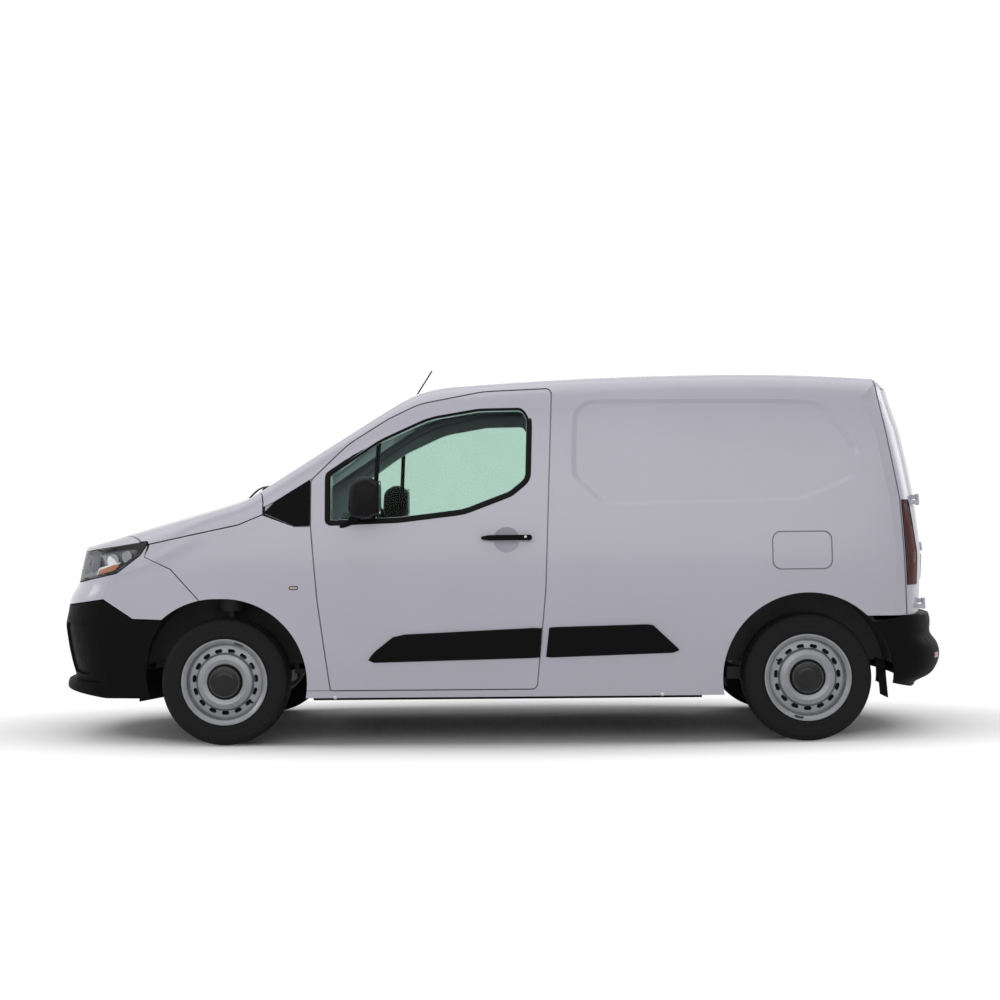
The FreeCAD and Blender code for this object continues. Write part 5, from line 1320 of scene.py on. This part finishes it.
# The floor fades over an oval: a distance is shortened along the van by the stretch
SHADOW_STRETCH = (0.48, 1.0, 0.0)
FADE_START, FADE_END = 0.95, 1.5
LIGHTS = (  # name, place, aim, length, width and power
    ("overhead", (0.0, -0.5, 5.4), (0.0, 0.0, 0.0), 11.0, 4.5, 140.0),
    ("camera_side", (-1.0, -8.5, 3.8), (0.0, 0.0, 0.9), 11.0, 4.0, 158.0),
    ("front", (-7.0, -2.0, 3.0), (0.0, 0.0, 0.8), 3.0, 2.0, 55.0),
    ("rear", (7.0, 2.0, 3.0), (0.0, 0.0, 0.8), 3.0, 2.0, 45.0),
    ("far_side", (1.0, 7.0, 3.6), (0.0, 0.0, 0.9), 7.0, 2.0, 75.0),
)


def camera():
    """The photograph's view of the driver's side."""
    data = bpy.data.cameras.new("camera")
    data.angle = FIELD
    item = linked("camera", data)
    turn = (AIM_AT - CAMERA_AT).to_track_quat("-Z", "Y").to_matrix().to_4x4()
    item.matrix_world = Matrix.Translation(CAMERA_AT) @ turn @ Matrix.Rotation(-ROLL, 4, "Z")
    bpy.context.scene.camera = item


def area_light(name, place, aim, length, width, power):
    """A rectangular lamp at a place, turned to a point."""
    data = bpy.data.lights.new(name, "AREA")
    data.shape = "RECTANGLE"
    data.size, data.size_y = length, width
    data.energy = power
    item = linked(name, data)
    item.location = place
    item.rotation_euler = (Vector(aim) - Vector(place)).to_track_quat("-Z", "Y").to_euler()


def seen_ray(tree):
    """1 where the camera, a reflection or a look through glass meets the surface, 0 for other light."""
    path = tree.nodes.new("ShaderNodeLightPath")
    seen = path.outputs["Is Camera Ray"]
    for key in ("Is Glossy Ray", "Is Transmission Ray"):
        seen = combined(tree, "MAXIMUM", seen, path.outputs[key])
    return seen


def mixed_output(tree, share, first, second, output):
    """Sends a mix of two shaders to the tree's output."""
    mix = tree.nodes.new("ShaderNodeMixShader")
    tree.links.new(share, mix.inputs["Fac"])
    tree.links.new(first.outputs[0], mix.inputs[1])
    tree.links.new(second.outputs[0], mix.inputs[2])
    tree.links.new(mix.outputs[0], tree.nodes[output].inputs["Surface"])


def world():
    """White to look at, and a soft even light on the van."""
    item = bpy.data.worlds.new("studio")
    bpy.context.scene.world = item
    item.use_nodes = True
    tree = item.node_tree
    back = tree.nodes["Background"]
    set_values(back, {"Strength": SKY_STRENGTH, "Color": WHITE})
    white = tree.nodes.new("ShaderNodeBackground")
    white.inputs["Color"].default_value = WHITE
    mixed_output(tree, seen_ray(tree), back, white, "World Output")


def floor():
    """Pale floor that takes the van's shadow and fades to white away from it."""
    mesh = bpy.data.meshes.new("studio_floor")
    corners = [(-FLOOR_HALF, -FLOOR_HALF, 0), (FLOOR_HALF, -FLOOR_HALF, 0), (FLOOR_HALF, FLOOR_HALF, 0),
               (-FLOOR_HALF, FLOOR_HALF, 0)]
    mesh.from_pydata(corners, [], [(0, 1, 2, 3)])
    item = linked("studio_floor", mesh)
    mat, tree, surface = shader("studio_floor")
    grain = ramp(tree, noise(tree, 3.0), ((0.2, (0.84, 0.84, 0.84)), (0.8, (0.88, 0.88, 0.88))))
    tree.links.new(grain, surface.inputs["Base Color"])
    set_values(surface, {"Roughness": 0.9, "Specular IOR Level": 0.1})
    white = tree.nodes.new("ShaderNodeEmission")
    place = tree.nodes.new("ShaderNodeNewGeometry")
    flat = tree.nodes.new("ShaderNodeVectorMath")
    flat.operation = "MULTIPLY"
    flat.inputs[1].default_value = SHADOW_STRETCH
    away = tree.nodes.new("ShaderNodeVectorMath")
    away.operation = "LENGTH"
    tree.links.new(place.outputs["Position"], flat.inputs[0])
    tree.links.new(flat.outputs["Vector"], away.inputs[0])
    fade = remap(tree, away.outputs["Value"], FADE_START, FADE_END, 0.0, 1.0)
    mixed_output(tree, combined(tree, "MULTIPLY", fade, seen_ray(tree)), surface, white, "Material Output")
    mesh.materials.append(mat)


camera()
world()
floor()
for light in LIGHTS:
    area_light(*light)
bpy.context.scene.view_settings.view_transform = "Standard"
